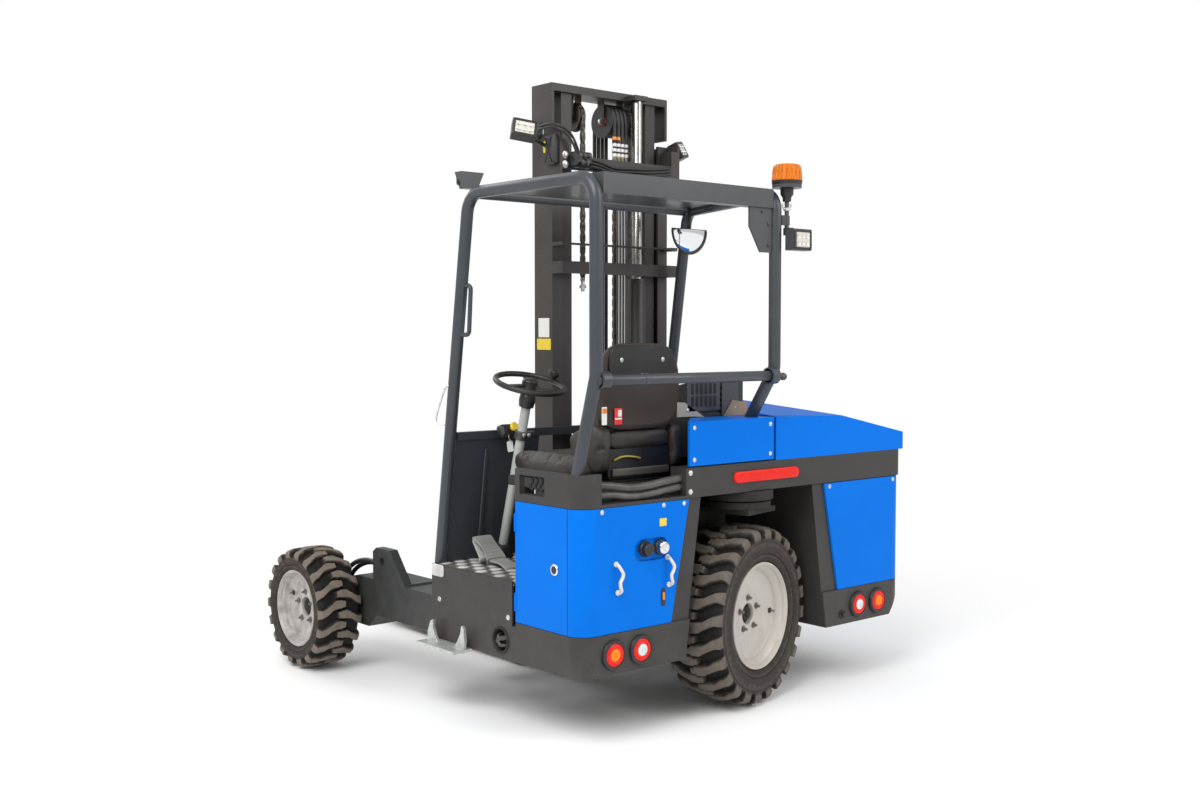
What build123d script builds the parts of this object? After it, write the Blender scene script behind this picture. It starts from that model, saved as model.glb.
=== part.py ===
from build123d import *
import math
import os

os.makedirs("parts", exist_ok=True)

# Truck-mounted forklift: X to its right, Y forward, Z up, in mm
# Heights and faces of the body, Y = 0 at the rear wheel's turning axis
half_width = 962
rear_face = -152
body_front = 828
pod_front = 243
skirt_low = 268
skirt_high = 406
floor_top = 580
panel_low = 424
panel_high = 898
band_high = 1026
beam_low = 902
beam_high = 1020
corner_radius = 74
plate = 12
panel_thickness = 10
seam = 3

# Wheel arch at the back, open to the floor
arch_top = 900
arch_half_top = 335
arch_half_low = 425
arch_depth = 430

# Straddle arms
arm_outer = half_width - 32
arm_inner = arm_outer - 180
arm_low = 271
arm_high = 433
arm_back = 360
arm_front = 1800
groove_depth = 45
groove_low = 300
groove_high = 405
tie_radius = 20

# Wheels: outer radius to the tips of the lugs, width, rim radius
front_wheel = {"radius": 278, "width": 216, "rim": 176, "x": half_width + 94, "y": 1684, "lugs": 18}
rear_wheel = {"radius": 375, "width": 264, "rim": 222, "x": 0, "y": 0, "lugs": 20}
steer_y = -22
steer_angle = -77.5
running_fit = 0.05
moving_gap = 6
slide_fit = 0.3

# Mast: rails nested from outside to inside
mast_back = 778
rail_outer = 350
rail_width = 60
rail_depth = 128
rail_wall = 14
mast_low = 110
mast_high = 2430
inner_shift = 18
inner_low = 90
inner_high = 2620
top_bar = 34
cross_back = mast_back - 72
pulley_y = 868
pulley_z = inner_high - 90
chain_x = 150
hose_row = (33, 57, 81, 105)
tilt_pivot_y = 842
tilt_pivot_z = 450

# Tilt, lift and reach cylinders
tilt_x = 428
foot_y = 726
foot_z = 372
eye_y = 850
eye_z = 900
lift_x = 130
lift_y = 748
reach_x = 600
reach_z = 352
base_back = 666
foot_right = -470
bay_left = -190
bay_front = 655

# Fork carriage and forks
bar_front = 1030
bar_thick = 34
bar_half = 540
bar_low_z = 105
bar_high_z = 512
bar_height = 76
fork_thick = 40
fork_width = 120
fork_length = 1200
fork_x = 290
fork_top = 72

# Guard over the driver's place
tube = 25
post_x = 30 - half_width
post_base_y = 829
post_base_z = 422
roof_z = 2110
roof_front_y = 587
rear_post_y = -205
guard_right_front = 300
guard_right_rear = 22

nodes = {}


def block(x0, x1, y0, y1, z0, z1):
    middle = Pos((x0 + x1) / 2, (y0 + y1) / 2, (z0 + z1) / 2)
    return middle * Box(x1 - x0, y1 - y0, z1 - z0)


def along_y(points, y0, y1):
    base = Plane(origin=(0, y1, 0), x_dir=(1, 0, 0), z_dir=(0, -1, 0))
    return extrude(base * make_face(Polyline(*points, close=True)), y1 - y0)


def along_x(points, x0, x1):
    base = Plane(origin=(x0, 0, 0), x_dir=(0, 1, 0), z_dir=(1, 0, 0))
    return extrude(base * make_face(Polyline(*points, close=True)), x1 - x0)


def upward(points, z0, z1):
    base = Plane(origin=(0, 0, z0))
    return extrude(base * make_face(Polyline(*points, close=True)), z1 - z0)


def rod(start, end, radius):
    run = Vector(*end) - Vector(*start)
    return Part() + Solid.make_cylinder(radius, run.length, Plane(origin=start, z_dir=run))


def bent_tube(points, radius, bend):
    path = FilletPolyline(*points, radius=bend)
    start = Plane(origin=path @ 0, z_dir=path % 0)
    return sweep(start * Circle(radius), path=path)


def mirrored(shape):
    return shape.mirror(Plane.YZ)


def guard_y(z):
    lean = (post_base_y - roof_front_y) / (roof_z - post_base_z)
    return post_base_y - (z - post_base_z) * lean


# Side casings: a skirt below, a stepped face above that takes the coloured panels
def arch_x(z):
    return arch_half_low - (z - skirt_low) * (arch_half_low - arch_half_top) / (arch_top - skirt_low)


def rounded_plan(x0, x1, y0, y1, radius, z0, z1):
    solid = block(x0, x1, y0, y1, z0, z1)
    edges = solid.edges().filter_by(Axis.Z).sort_by(Axis.Y)[:2].sort_by(Axis.X)[:1]
    return fillet(edges, radius)


def inner_wedge(grow, z0, z1):
    points = [(0, z0), (arch_x(z0) + grow, z0), (arch_x(z1) + grow, z1), (0, z1)]
    return points


def casing(side, front, lid):
    skirt = rounded_plan(-half_width, -200, rear_face, front, corner_radius, skirt_low, panel_low)
    inset = panel_thickness
    upper = rounded_plan(
        -half_width + inset, -200, rear_face + inset, front, corner_radius - inset, panel_low, arch_top
    )
    hollow = block(-half_width + 30, -200, rear_face + 30, front + 1, skirt_low - 1, arch_top - lid)
    hollow = hollow - mirrored(along_y(inner_wedge(plate, skirt_low - 2, arch_top + 2), -400, 700))
    wedge = mirrored(along_y(inner_wedge(0, skirt_low - 2, arch_top + 2), -400, 700))
    shell = skirt + upper - hollow - wedge
    if side > 0:
        shell = mirrored(shell) - block(0, arm_outer, arch_depth, 700, 200, 470)
        shell = shell - along_y([(862, 260), (970, 260), (970, 380), (928, 347)], -400, 700)
    return shell


def panel_strip():
    points = [(-407, panel_high), (-504, panel_low + 2), (-200, panel_low + 2), (-200, panel_high)]
    return along_y(points, -400, 400)


def rear_panel():
    outer = rounded_plan(-half_width, -300, rear_face, -77, corner_radius, panel_low + 2, panel_high)
    back = rounded_plan(
        -half_width + panel_thickness, -299, rear_face + panel_thickness, -76,
        corner_radius - panel_thickness, panel_low, panel_high + 2
    )
    return outer - back - panel_strip()


def side_panel():
    x0 = -half_width
    return block(x0, x0 + panel_thickness, -77 + seam, pod_front, panel_low + 2, panel_high)


left_casing = casing(-1, pod_front, plate)
right_casing = casing(1, 640, -2)
right_side = block(half_width - panel_thickness, half_width, -77 + seam, 640, panel_low + 2, panel_high)
for step_z in range(9):
    right_side = right_side - block(half_width - 11, half_width + 1, 110, 500, 530 + 34 * step_z, 544 + 34 * step_z)
recess = Box(172, 40, 84)
recess = Pos(-608, rear_face, 722) * fillet(recess.edges().filter_by(Axis.Y), 40)
left_panel = rear_panel() - recess
nodes["body_panels"] = Part() + [left_panel, mirrored(rear_panel()), right_side]
door = side_panel()
for z in (470, 780):
    door = door + rod((-half_width, pod_front, z), (-half_width, pod_front, z + 70), 5)
nodes["left_door"] = door

# Dark band on top of the left casing, and the beam over the arch
band = rounded_plan(-half_width, -300, rear_face, pod_front, corner_radius, arch_top, band_high)
band = band - block(-half_width + 25, 0, rear_face + 25, pod_front + 1, arch_top + 20, band_high + 1)
band = band - block(-860, -424, rear_face - 1, rear_face + 60, arch_top + 12, band_high + 1)
band = band - block(-half_width - 1, -half_width + 60, 60, 215, arch_top + 30, band_high - 22)
band = band - block(-424, 0, rear_face - 1, pod_front + 1, 0, 1100)
beam = block(-424, half_width - 9, rear_face, rear_face + 90, beam_low, beam_high)
beam = fillet(beam.edges().filter_by(Axis.Z).sort_by(Axis.X)[-2:].sort_by(Axis.Y)[:1], 40)
rail_plate = block(half_width - 30, half_width, rear_face + 90, 640, beam_low - 2, beam_high)
caps = Part()
for x in (-644, -566):
    caps = caps + rod((x, rear_face - 6, 727), (x, rear_face + 12, 727), 26)
    caps = caps + rod((x, rear_face - 26, 727), (x, rear_face - 6, 727), 21)
nodes["rear_body"] = left_casing + right_casing + band + beam + rail_plate + caps

# Arch walls, the plate over the steered wheel and the slew seat
arch = block(-424, 424, rear_face + 90, arch_depth, arch_top, arch_top + 15)
seat_ring = Pos(0, steer_y, arch_top - 40) * Cylinder(150, 40, align=(Align.CENTER, Align.CENTER, Align.MIN))
arch = arch + seat_ring
arch = arch - Pos(0, steer_y, arch_top) * Cylinder(45 + running_fit, 120)
wall_points = [
    (-arch_half_low, skirt_low), (arch_half_low, skirt_low), (arch_half_top, arch_top), (-arch_half_top, arch_top)
]
wall = along_y(wall_points, arch_depth - plate, arch_depth)
side_points = [
    (-arch_half_low, skirt_low), (-arch_half_low - plate, skirt_low), (-arch_half_top - plate, arch_top),
    (-arch_half_top, arch_top)
]
side_wall = along_y(side_points, pod_front, arch_depth)
weight = block(-250, 250, 232, arch_depth - plate, 790, arch_top)
nodes["wheel_arch"] = arch + wall + side_wall + weight

# Floor pan under the driver, side skirts and the cross box that carries the arms
cross = block(-arm_outer, arm_outer, arm_back, 660, skirt_low, 470)
cross = cross - block(-arm_outer + 15, arm_outer - 15, arm_back + 15, 645, skirt_low + 15, 455)
cross = cross - block(-arm_outer - 1, arm_outer + 1, 0, arch_depth, 0, 600)
left_skirt = block(-half_width, -arm_outer - 2, pod_front, body_front, skirt_low, skirt_high)
left_skirt = left_skirt + block(-arm_outer - 2, foot_right, 800, 812, 440, floor_top - 6)
left_skirt = left_skirt + block(-half_width + 8, -arm_outer - 2, 300, 812, skirt_high, 446)
post_room = rod((post_x, guard_y(200), 200), (post_x, guard_y(760), 760), tube + 0.3)
left_skirt = left_skirt - post_room
left_skirt = left_skirt - rod((-half_width - 1, 340, 338), (-half_width + 60, 340, 338), 44)
step_cover = block(-half_width, -half_width + 8, 265, body_front, skirt_high, floor_top)
step_cover = step_cover - post_room
right_skirt = block(arm_outer + 2, half_width, 640, body_front - 60, skirt_low + 80, 470)
nodes["skirts"] = left_skirt + right_skirt + step_cover
floor = block(-half_width + 8, bay_left, arch_depth, 658, floor_top - 6, floor_top)
floor = floor + block(-half_width + 8, -430, pod_front, arch_depth, floor_top - 6, floor_top)
floor = floor + block(-half_width + 8, foot_right, 658, 812, floor_top - 6, floor_top)
nodes["floor_plate"] = floor - post_room

# Galvanised boarding step, held under the skirt by two brackets
step = block(-half_width - 96, -half_width, 536, 806, 256, 268)
claw_front = [(800, 267), (804, 300), (780, 350), (760, 358), (764, 322), (748, 292), (728, 267)]
claw_rear = [(542, 267), (536, 304), (540, 352), (556, 364), (564, 330), (584, 298), (612, 267)]
for claw in (claw_front, claw_rear):
    step = step + along_x(claw, -half_width - 40, -half_width - 26)
nodes["boarding_step"] = step

# Straddle arms: box with an open roller groove on the inner side and a raised end gusset
def straddle_arm():
    points = [
        (arm_back, arm_low), (1330, arm_low), (1400, 210), (arm_front, 210), (arm_front, 360),
        (1500, arm_high), (1360, arm_high), (1360, 560), (1330, 580), (1215, 580), (1090, arm_high),
        (arm_back, arm_high)
    ]
    arm = along_x(points, -arm_outer, -arm_inner)
    gusset_room = block(-arm_outer + 40, -arm_inner + 1, 1000, 1500, arm_high + 8, 600)
    arm = arm - gusset_room - rod((-arm_outer - 1, 1285, 520), (-arm_outer + 50, 1285, 520), tie_radius)
    groove = block(-arm_inner - groove_depth, -arm_inner + 1, 662, 1480, groove_low, groove_high)
    return arm - groove


left_arm = straddle_arm() - block(-arm_outer - 1, 0, 0, 660 + slide_fit, 0, 600)
arms = {-1: left_arm, 1: mirrored(left_arm)}


# Wheels are drawn with their axle along X and turned into place
def ring(points):
    base = Plane(origin=(0, 0, 0), x_dir=(1, 0, 0), z_dir=(0, -1, 0))
    return revolve(base * make_face(Polyline(*points, close=True)), Axis.X)


def carcass(size):
    r = size["radius"]
    w = size["width"] / 2
    bead = size["rim"] - 10
    wall = r - size["rim"]
    half = [(w / 2, r - 24), (w - 18, r - 36), (w - 4, size["rim"] + 0.55 * wall), (w - 24, size["rim"]), (w - 24, bead)]
    return ring([(-x, y) for x, y in reversed(half)] + half)


# A tread bar runs from the middle to the shoulder and bends back at half its length
def tread_bar(size):
    r = size["radius"]
    w = size["width"] / 2
    wide = 0.062 * r
    plan = [
        (-0.1 * w, -2.2 * wide), (0.45 * w, -1.9 * wide), (w, -0.3 * wide),
        (w, 2.6 * wide), (0.4 * w, 0.6 * wide), (-0.1 * w, -0.2 * wide)
    ]
    side = [
        (-0.2 * w, r - 30), (-0.2 * w, r - 4), (0.72 * w, r - 5), (w, r - 26), (w, r - 52), (0.7 * w, r - 60)
    ]
    return upward(plan, r - 70, r) & along_y(side, -3 * wide, 3 * wide)


def tyre(size):
    step = 360 / size["lugs"]
    bar = tread_bar(size)
    rows = {0: bar, step / 2: mirrored(bar)}
    shape = carcass(size)
    bars = [Rot(turn * step + shift, 0, 0) * row for shift, row in rows.items() for turn in range(size["lugs"])]
    return shape.fuse(*bars)


def rim(size, disc, dish):
    w = size["width"] / 2
    bead = size["rim"] - 10
    barrel = ring([
        (-w + 14, bead + 10), (-w + 24, bead + 10), (-w + 24, bead), (w - 24, bead),
        (w - 24, bead + 10), (w - 14, bead + 10), (w - 14, bead - 8), (-w + 14, bead - 8)
    ])
    plate_ring = ring([(disc, 0), (disc, bead - 8), (disc + 10, bead - 8), (disc + 10, 0)])
    return barrel + plate_ring + ring([(disc + 10, 0), (disc + 10, dish), (disc + 26, dish - 14), (disc + 26, 0)])


def turned(shape, size, angle, y=None):
    place = size["y"] if y is None else y
    return Pos(size["x"], place, size["radius"]) * Rot(0, 0, angle) * shape


def stub(size, disc, radius, reach):
    return rod((disc - reach, 0, 0), (disc, 0, 0), radius)


front_rim = rim(front_wheel, 12, 85) + stub(front_wheel, 12, 30, 60)
front_motor = rod((-126, 0, 0), (6, 0, 0), 100) - rod((-127, 0, 0), (7, 0, 0), 30 + running_fit)
for side, name in ((1, "right"), (-1, "left")):
    flip = {"radius": front_wheel["radius"], "x": side * front_wheel["x"], "y": front_wheel["y"]}
    angle = 0 if side > 0 else 180
    nodes[f"front_tyre_{name}"] = turned(tyre(front_wheel), flip, angle)
    nodes[f"front_rim_{name}"] = turned(front_rim, flip, angle)
    arms[side] = arms[side] + turned(front_motor, flip, angle)

# Steered rear wheel in its one-sided yoke
rear_rim = rim(rear_wheel, 20, 90) + stub(rear_wheel, 20, 40, 100)
nodes["rear_tyre"] = turned(tyre(rear_wheel), rear_wheel, steer_angle, steer_y)
nodes["rear_rim"] = turned(rear_rim, rear_wheel, steer_angle, steer_y)
yoke = rod((-190, 0, 0), (14, 0, 0), 120) - rod((-191, 0, 0), (15, 0, 0), 40 + running_fit)
yoke = yoke + along_x([(-110, 0), (110, 0), (150, 420), (150, 450), (-150, 450), (-150, 420)], -190, -146)
yoke = yoke + block(-190, 120, -110, 110, 428, 450)
yoke = yoke + rod((0, 0, 450), (0, 0, 520), 45) + rod((0, 0, 450), (0, 0, 479), 140)
yoke = yoke - rod((-191, 0, 0), (15, 0, 0), 40 + running_fit)
nodes["rear_yoke"] = turned(yoke, rear_wheel, steer_angle, steer_y)

# Engine bay: walls, block and hoods
bay = block(bay_left, bay_left + 8, arch_depth, bay_front - 8, floor_top, 1138)
left_wall = bay
bay = block(bay_left, 930, bay_front - 8, bay_front, 475, 1138)
bay = bay - block(225, 1000, 600, 700, 1022, 1200)
cover = [(-190, 252), (150, 252), (218, 645), (218, bay_front), (-190, bay_front)]
nodes["bay_walls"] = left_wall + bay + upward(cover, 1138, 1150)
nodes["engine_block"] = block(450, 870, 0, 600, 470, 1010)
hood_low = beam_high + 0.3
hood_points = [(95, hood_low), (958, hood_low), (958, 1098), (520, 1190), (95, 1200)]
hood_rear = Plane(origin=(0, rear_face, 0), x_dir=(1, 0, 0), z_dir=(0, -1, 0))
hood_front = Plane(origin=(0, 640, 0), x_dir=(1, 0, 0), z_dir=(0, -1, 0))
rear_section = make_face(Polyline(*hood_points, close=True))
front_points = [(230, hood_low), (958, hood_low), (958, 1130), (520, 1250), (230, 1262)]
front_section = make_face(Polyline(*front_points, close=True))
hood = loft([hood_rear * rear_section, hood_front * front_section], ruled=True)
inner_points = [(107, hood_low - 1), (946, hood_low - 1), (946, 1088), (520, 1178), (107, 1188)]
inner_front = [(242, hood_low - 1), (946, hood_low - 1), (946, 1120), (520, 1238), (242, 1250)]
hood_in = loft([
    Plane(origin=(0, rear_face + 12, 0), x_dir=(1, 0, 0), z_dir=(0, -1, 0)) * make_face(
        Polyline(*inner_points, close=True)),
    Plane(origin=(0, 628, 0), x_dir=(1, 0, 0), z_dir=(0, -1, 0)) * make_face(
        Polyline(*inner_front, close=True))
], ruled=True)
hood = hood - hood_in
for x in (240, 380):
    hood = hood + rod((x, 640, 1262), (x + 60, 640, 1262), 8)
nodes["engine_hood"] = hood
box_plan = [(-406, rear_face), (82, rear_face), (82, 30), (-224, 30), (-406, rear_face + 12)]
box_inner = [(-393, rear_face + 10), (72, rear_face + 10), (72, 31), (-208, 31)]
box_cover = upward(box_plan, 1025, 1200) - upward(box_inner, 1024, 1190)
nodes["hood_box"] = box_cover
console = along_x([(35, 1030), (252, 1030), (252, 1240), (150, 1330), (60, 1348), (35, 1348)], -180, 92)
for step_z in range(5):
    console = console - block(-150, 60, 30, 43, 1215 + 24 * step_z, 1225 + 24 * step_z)
nodes["console"] = console

# Seat on its pan behind the wheel
seat_base = block(-740, -445, pod_front, arch_depth - 40, floor_top, arch_top + 20)
nodes["seat_base"] = seat_base + block(-760, -275, 40, 560, arch_top + 20, 960)
cushion = block(-775, -290, 60, 590, 960, 1060)
nodes["seat_cushion"] = fillet(cushion.edges().group_by(Axis.Z)[-1], 30)
back_points = [
    (-700, 1060), (-290, 1060), (-275, 1240), (-290, 1430), (-350, 1508), (-625, 1508), (-688, 1430), (-715, 1240)
]
nodes["seat_back"] = along_y(back_points, 30, 130)

# Steering column, wheel and pedals
wheel_top = (-650, 553, 1336)
column_base = (-650, 770, floor_top - 30)
lean = Vector(*wheel_top) - Vector(*column_base)
unit = lean.normalized()
column = rod(column_base, Vector(*wheel_top) - unit * 46, 20)
column = column - rod(Vector(*wheel_top) - unit * 100, Vector(*wheel_top), 10 + running_fit)
column = column - block(-700, -600, 700, 850, 500, floor_top)
steer_plane = Plane(origin=wheel_top, z_dir=unit)
rim_ring = steer_plane * Torus(145, 12)
hub = rod(Vector(*wheel_top) - unit * 40, Vector(*wheel_top) + unit * 6, 34)
spokes = Part()
for turn in (90, 210, 330):
    spoke = steer_plane * Rot(0, 0, turn) * Pos(84, 0, -8) * Box(122, 24, 10)
    spokes = spokes + spoke
shaft = rod(Vector(*wheel_top) - unit * 90, Vector(*wheel_top) - unit * 30, 10)
nodes["steering_wheel"] = rim_ring + hub + spokes + shaft
pedals = Part()
for x in (-840, -560):
    pedals = pedals + along_x([(640, 600), (700, 680), (706, 675), (646, 595)], x, x + 90)
    pedals = pedals + block(x + 35, x + 55, 640, 655, floor_top, 612)
nodes["column_and_pedals"] = column + pedals

# Bulkhead in front of the driver, in the leaning plane of the guard's front posts
def leaning_plate(x0, x1, z0, z1, thick, back=0):
    points = [
        (guard_y(z0) - back, z0), (guard_y(z1) - back, z1),
        (guard_y(z1) - back - thick, z1), (guard_y(z0) - back - thick, z0)
    ]
    return along_x(points, x0, x1)


bulkhead = leaning_plate(-905, foot_right, floor_top, 1100, 8, 4)
bulkhead = bulkhead + leaning_plate(-905, -20, 1100, 1135, 28, -10)
nodes["bulkhead"] = bulkhead + block(-50, -20, bay_front, guard_y(1117) - 10, 1100, 1132)

# Overhead guard
a_top = (post_x, roof_front_y, roof_z)
left_hoop = bent_tube(
    [(post_x, guard_y(arm_high - 40), arm_high - 40), a_top, (post_x, rear_post_y, roof_z),
     (post_x, rear_post_y, 1390), (post_x, -88, band_high - 40)], tube, 90
)
left_hoop = left_hoop - block(-1100, -800, -300, 100, 900, band_high)
left_hoop = left_hoop - block(-1100, -800, 700, 900, 300, arm_high)
right_hoop = bent_tube(
    [(guard_right_front, 690, 990), (guard_right_front, guard_y(1330), 1330),
     (guard_right_front, roof_front_y, roof_z),
     (guard_right_rear, rear_post_y, roof_z), (guard_right_rear, rear_post_y, 1400),
     (guard_right_rear, -50, 1160)], tube, 70
)
right_hoop = right_hoop - block(-100, 100, -300, 100, 1000, 1200)
roof_plan = [
    (post_x + tube, roof_front_y - 60), (guard_right_front - 2 * tube, roof_front_y - 60),
    (guard_right_rear - tube, rear_post_y + 40), (post_x + tube, rear_post_y + 40)
]
roof = upward(roof_plan, roof_z + 4, roof_z + 16)
roof = roof + rod((post_x + tube, roof_front_y, roof_z), (guard_right_front - tube, roof_front_y, roof_z), 20)
roof = roof + block(post_x + tube, guard_right_rear - tube, rear_post_y - 12, rear_post_y + 40, 2050, roof_z + 16)
roof = roof - left_hoop - right_hoop
roof = roof - block(guard_right_rear - tube, 400, rear_post_y - 30, rear_post_y - 12, 2000, 2200)
rear_rail = block(post_x + tube, guard_right_rear - tube, -228, -196, 1358, 1392)


# Mast frame on its sliding base between the arms
def channel(x_outer, width, y0, depth, wall, z0, z1):
    outer = block(-x_outer, -x_outer + width, y0, y0 + depth, z0, z1)
    inner = block(-x_outer + wall, -x_outer + width + 1, y0 + wall, y0 + depth - wall, z0 - 1, z1 + 1)
    return outer - inner


rail = channel(rail_outer, rail_width, mast_back, rail_depth, rail_wall, mast_low, mast_high)
mast = rail + mirrored(rail)
cross_bars = [(1812, 1866), (2268, 2330)]
for low, high in cross_bars:
    mast = mast + block(-rail_outer, rail_outer, cross_back, cross_back + 10, low, high)
mast = mast + rod((-rail_outer, cross_back + 5, 1943), (rail_outer, cross_back + 5, 1943), 5)
for s in (-1, 1):
    edge = sorted((s * rail_outer, s * (rail_outer - 40)))
    side_edge = sorted((s * rail_outer, s * (rail_outer + 12)))
    mast = mast + block(edge[0], edge[1], cross_back, mast_back, 1812, 1866)
    mast = mast + block(edge[0], edge[1], cross_back, mast_back, 1935, 1951)
    mast = mast + block(edge[0], edge[1], cross_back, mast_back, 2268, 2400)
    mast = mast + block(side_edge[0], side_edge[1], cross_back, mast_back + rail_depth, 2200, mast_high)
    mast = mast + block(edge[0], edge[1], mast_back - 14, mast_back, 120, 420)
    pin_room = sorted((s * (rail_outer + 1), s * (rail_outer - rail_wall - 1)))
    hole = rod((pin_room[0], tilt_pivot_y, tilt_pivot_z), (pin_room[1], tilt_pivot_y, tilt_pivot_z), 25.05)
    mast = mast - hole
    mast = mast + rod((s * rail_outer, eye_y, eye_z), (s * (tilt_x + 26), eye_y, eye_z), 15)
mast = mast + block(-rail_outer, rail_outer, mast_back - 14, mast_back, 120, 240)
shelf = block(lift_x - 60, lift_x + 60, lift_y - 38, mast_back - 14, 120, 140)
nodes["outer_mast"] = mast + shelf
inner_x = rail_outer - rail_width - moving_gap
inner_rail = channel(inner_x, rail_width, mast_back + inner_shift, rail_depth, 12, inner_low, inner_high)
inner = inner_rail + mirrored(inner_rail)
ib = mast_back + inner_shift
inner = inner + block(-rail_outer, rail_outer, ib - 16, ib + rail_depth, inner_high, inner_high + top_bar)
inner = inner + block(lift_x - 40, lift_x + 40, lift_y - 30, ib, inner_high, inner_high + 22)
for s in (-1, 1):
    end_plate = sorted((s * rail_outer, s * (rail_outer - 14)))
    inner = inner + block(end_plate[0], end_plate[1], ib - 16, ib + rail_depth, mast_high + 30, inner_high)
    for x in (s * chain_x - 26, s * chain_x + 20):
        inner = inner + block(x, x + 6, pulley_y - 22, pulley_y + 22, pulley_z - 20, inner_high)
hose_side = hose_row[0] - 24
inner = inner + block(hose_side, hose_side + 6, pulley_y - 22, pulley_y + 22, pulley_z - 20, inner_high)
for x0, x1 in ((-chain_x - 30, -chain_x + 30), (hose_side - 4, chain_x + 30)):
    inner = inner + rod((x0, pulley_y, pulley_z), (x1, pulley_y, pulley_z), 12)
inner = inner + block(-inner_x, inner_x, ib, ib + 12, 500, 600)
for s in (-1, 1):
    for z in (170, 900):
        start = (s * inner_x, mast_back + rail_depth / 2, z)
        end = (s * (rail_outer - rail_wall - moving_gap), mast_back + rail_depth / 2, z)
        inner = inner + rod(start, end, rail_depth / 2 - rail_wall - slide_fit)
nodes["inner_mast"] = inner

# Fork carriage
cb = bar_front - bar_thick
carriage = Part()
for z in (bar_low_z, bar_high_z - bar_height):
    carriage = carriage + block(-bar_half, bar_half, cb, bar_front, z, z + bar_height)
side_x = inner_x - rail_width - moving_gap
roller_y = mast_back + inner_shift + rail_depth / 2
for s in (-1, 1):
    x0 = s * side_x
    x1 = s * (side_x - 34)
    carriage = carriage + block(min(x0, x1), max(x0, x1), 830, cb - 24, bar_low_z, 620)
    carriage = carriage + block(min(x0, x1), max(x0, x1), 900, cb, bar_low_z, 484)
    for z in (190, 540):
        start = (x0, roller_y, z)
        end = (s * (side_x + 44), roller_y, z)
        carriage = carriage + rod(start, end, rail_depth / 2 - 12 - slide_fit)
for x in (-bar_half, -20, bar_half - 40):
    carriage = carriage + block(x, x + 40, cb, bar_front, bar_low_z, bar_high_z)
nodes["fork_carriage"] = carriage


def fork(x):
    heel = bar_front + slide_fit
    tip = heel + fork_thick + fork_length
    blade = [
        (heel, 42), (heel + 12, 30), (tip - 400, 34), (tip, 60), (tip, 68), (tip - 4, fork_top),
        (heel + fork_thick + 14, fork_top), (heel + fork_thick, fork_top + 14), (heel + fork_thick, 540),
        (heel - bar_thick - 12, 540), (heel - bar_thick - 12, bar_high_z - 18),
        (heel - bar_thick - 1, bar_high_z - 18), (heel - bar_thick - 1, bar_high_z + slide_fit),
        (heel, bar_high_z + slide_fit)
    ]
    return along_x(blade, x - fork_width / 2, x + fork_width / 2)


nodes["fork_left"] = fork(-fork_x)
nodes["fork_right"] = fork(fork_x)

# Sliding base that carries the mast foot, on rollers in the arm grooves
base = block(-arm_inner + 8, arm_inner - 8, base_back, base_back + 18, groove_low, groove_high)
for s in (-1, 1):
    cheek_points = [
        (base_back, groove_low), (930, groove_low), (930, groove_high), (880, 500), (800, 500), (base_back, 420)
    ]
    cheek = along_x(cheek_points, 0, 24)
    base = base + Pos(s * 385 - 12, 0, 0) * cheek
    outer_side = sorted((s * 710, s * 742))
    front_bar = sorted((s * 373, s * 742))
    base = base + block(front_bar[0], front_bar[1], 902, 930, groove_low, groove_high)
    base = base + block(outer_side[0], outer_side[1], base_back, 930, groove_low, groove_high)
    middle = (groove_low + groove_high) / 2
    for y in (735, 870):
        wheel_radius = (groove_high - groove_low) / 2 - slide_fit
        base = base + rod((s * 742, y, middle), (s * (arm_inner + 39), y, middle), wheel_radius)
    base = base + rod((s * 373, tilt_pivot_y, tilt_pivot_z), (s * 340, tilt_pivot_y, tilt_pivot_z), 25)
    base = base + rod((s * 397, foot_y, foot_z), (s * (tilt_x + 26), foot_y, foot_z), 15)
nodes["mast_base"] = base

# Tilt cylinders between the base and the mast rails
foot = Vector(tilt_x, foot_y, foot_z)
eye = Vector(tilt_x, eye_y, eye_z)
tilt_run = (eye - foot).normalized()
tilt_length = (eye - foot).length
for s, name in ((-1, "left"), (1, "right")):
    barrel = rod(foot + tilt_run * 26, foot + tilt_run * 330, 27)
    barrel = barrel - rod(foot + tilt_run * 180, foot + tilt_run * 331, 14 + running_fit)
    barrel = barrel + rod(foot - Vector(12, 0, 0), foot + Vector(12, 0, 0), 30)
    barrel = barrel - rod(foot - Vector(13, 0, 0), foot + Vector(13, 0, 0), 15 + running_fit)
    stem = rod(foot + tilt_run * 200, eye - tilt_run * 20, 14)
    stem = stem + rod(eye - Vector(12, 0, 0), eye + Vector(12, 0, 0), 28)
    stem = stem - rod(eye - Vector(13, 0, 0), eye + Vector(13, 0, 0), 15.5)
    nodes[f"tilt_barrel_{name}"] = mirrored(barrel) if s < 0 else barrel
    nodes[f"tilt_rod_{name}"] = mirrored(stem) if s < 0 else stem

# Lift cylinder behind the rails, its chrome rod under the inner mast's top
lift_barrel = rod((lift_x, lift_y, 140), (lift_x, lift_y, 1800), 40)
bore = rod((lift_x, lift_y, 200), (lift_x, lift_y, 1801), 24 + running_fit)
nodes["outer_mast"] = nodes["outer_mast"] + lift_barrel - bore
lift_rod = rod((lift_x, lift_y, 220), (lift_x, lift_y, inner_high), 24)
nodes["lift_rod"] = lift_rod

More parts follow.
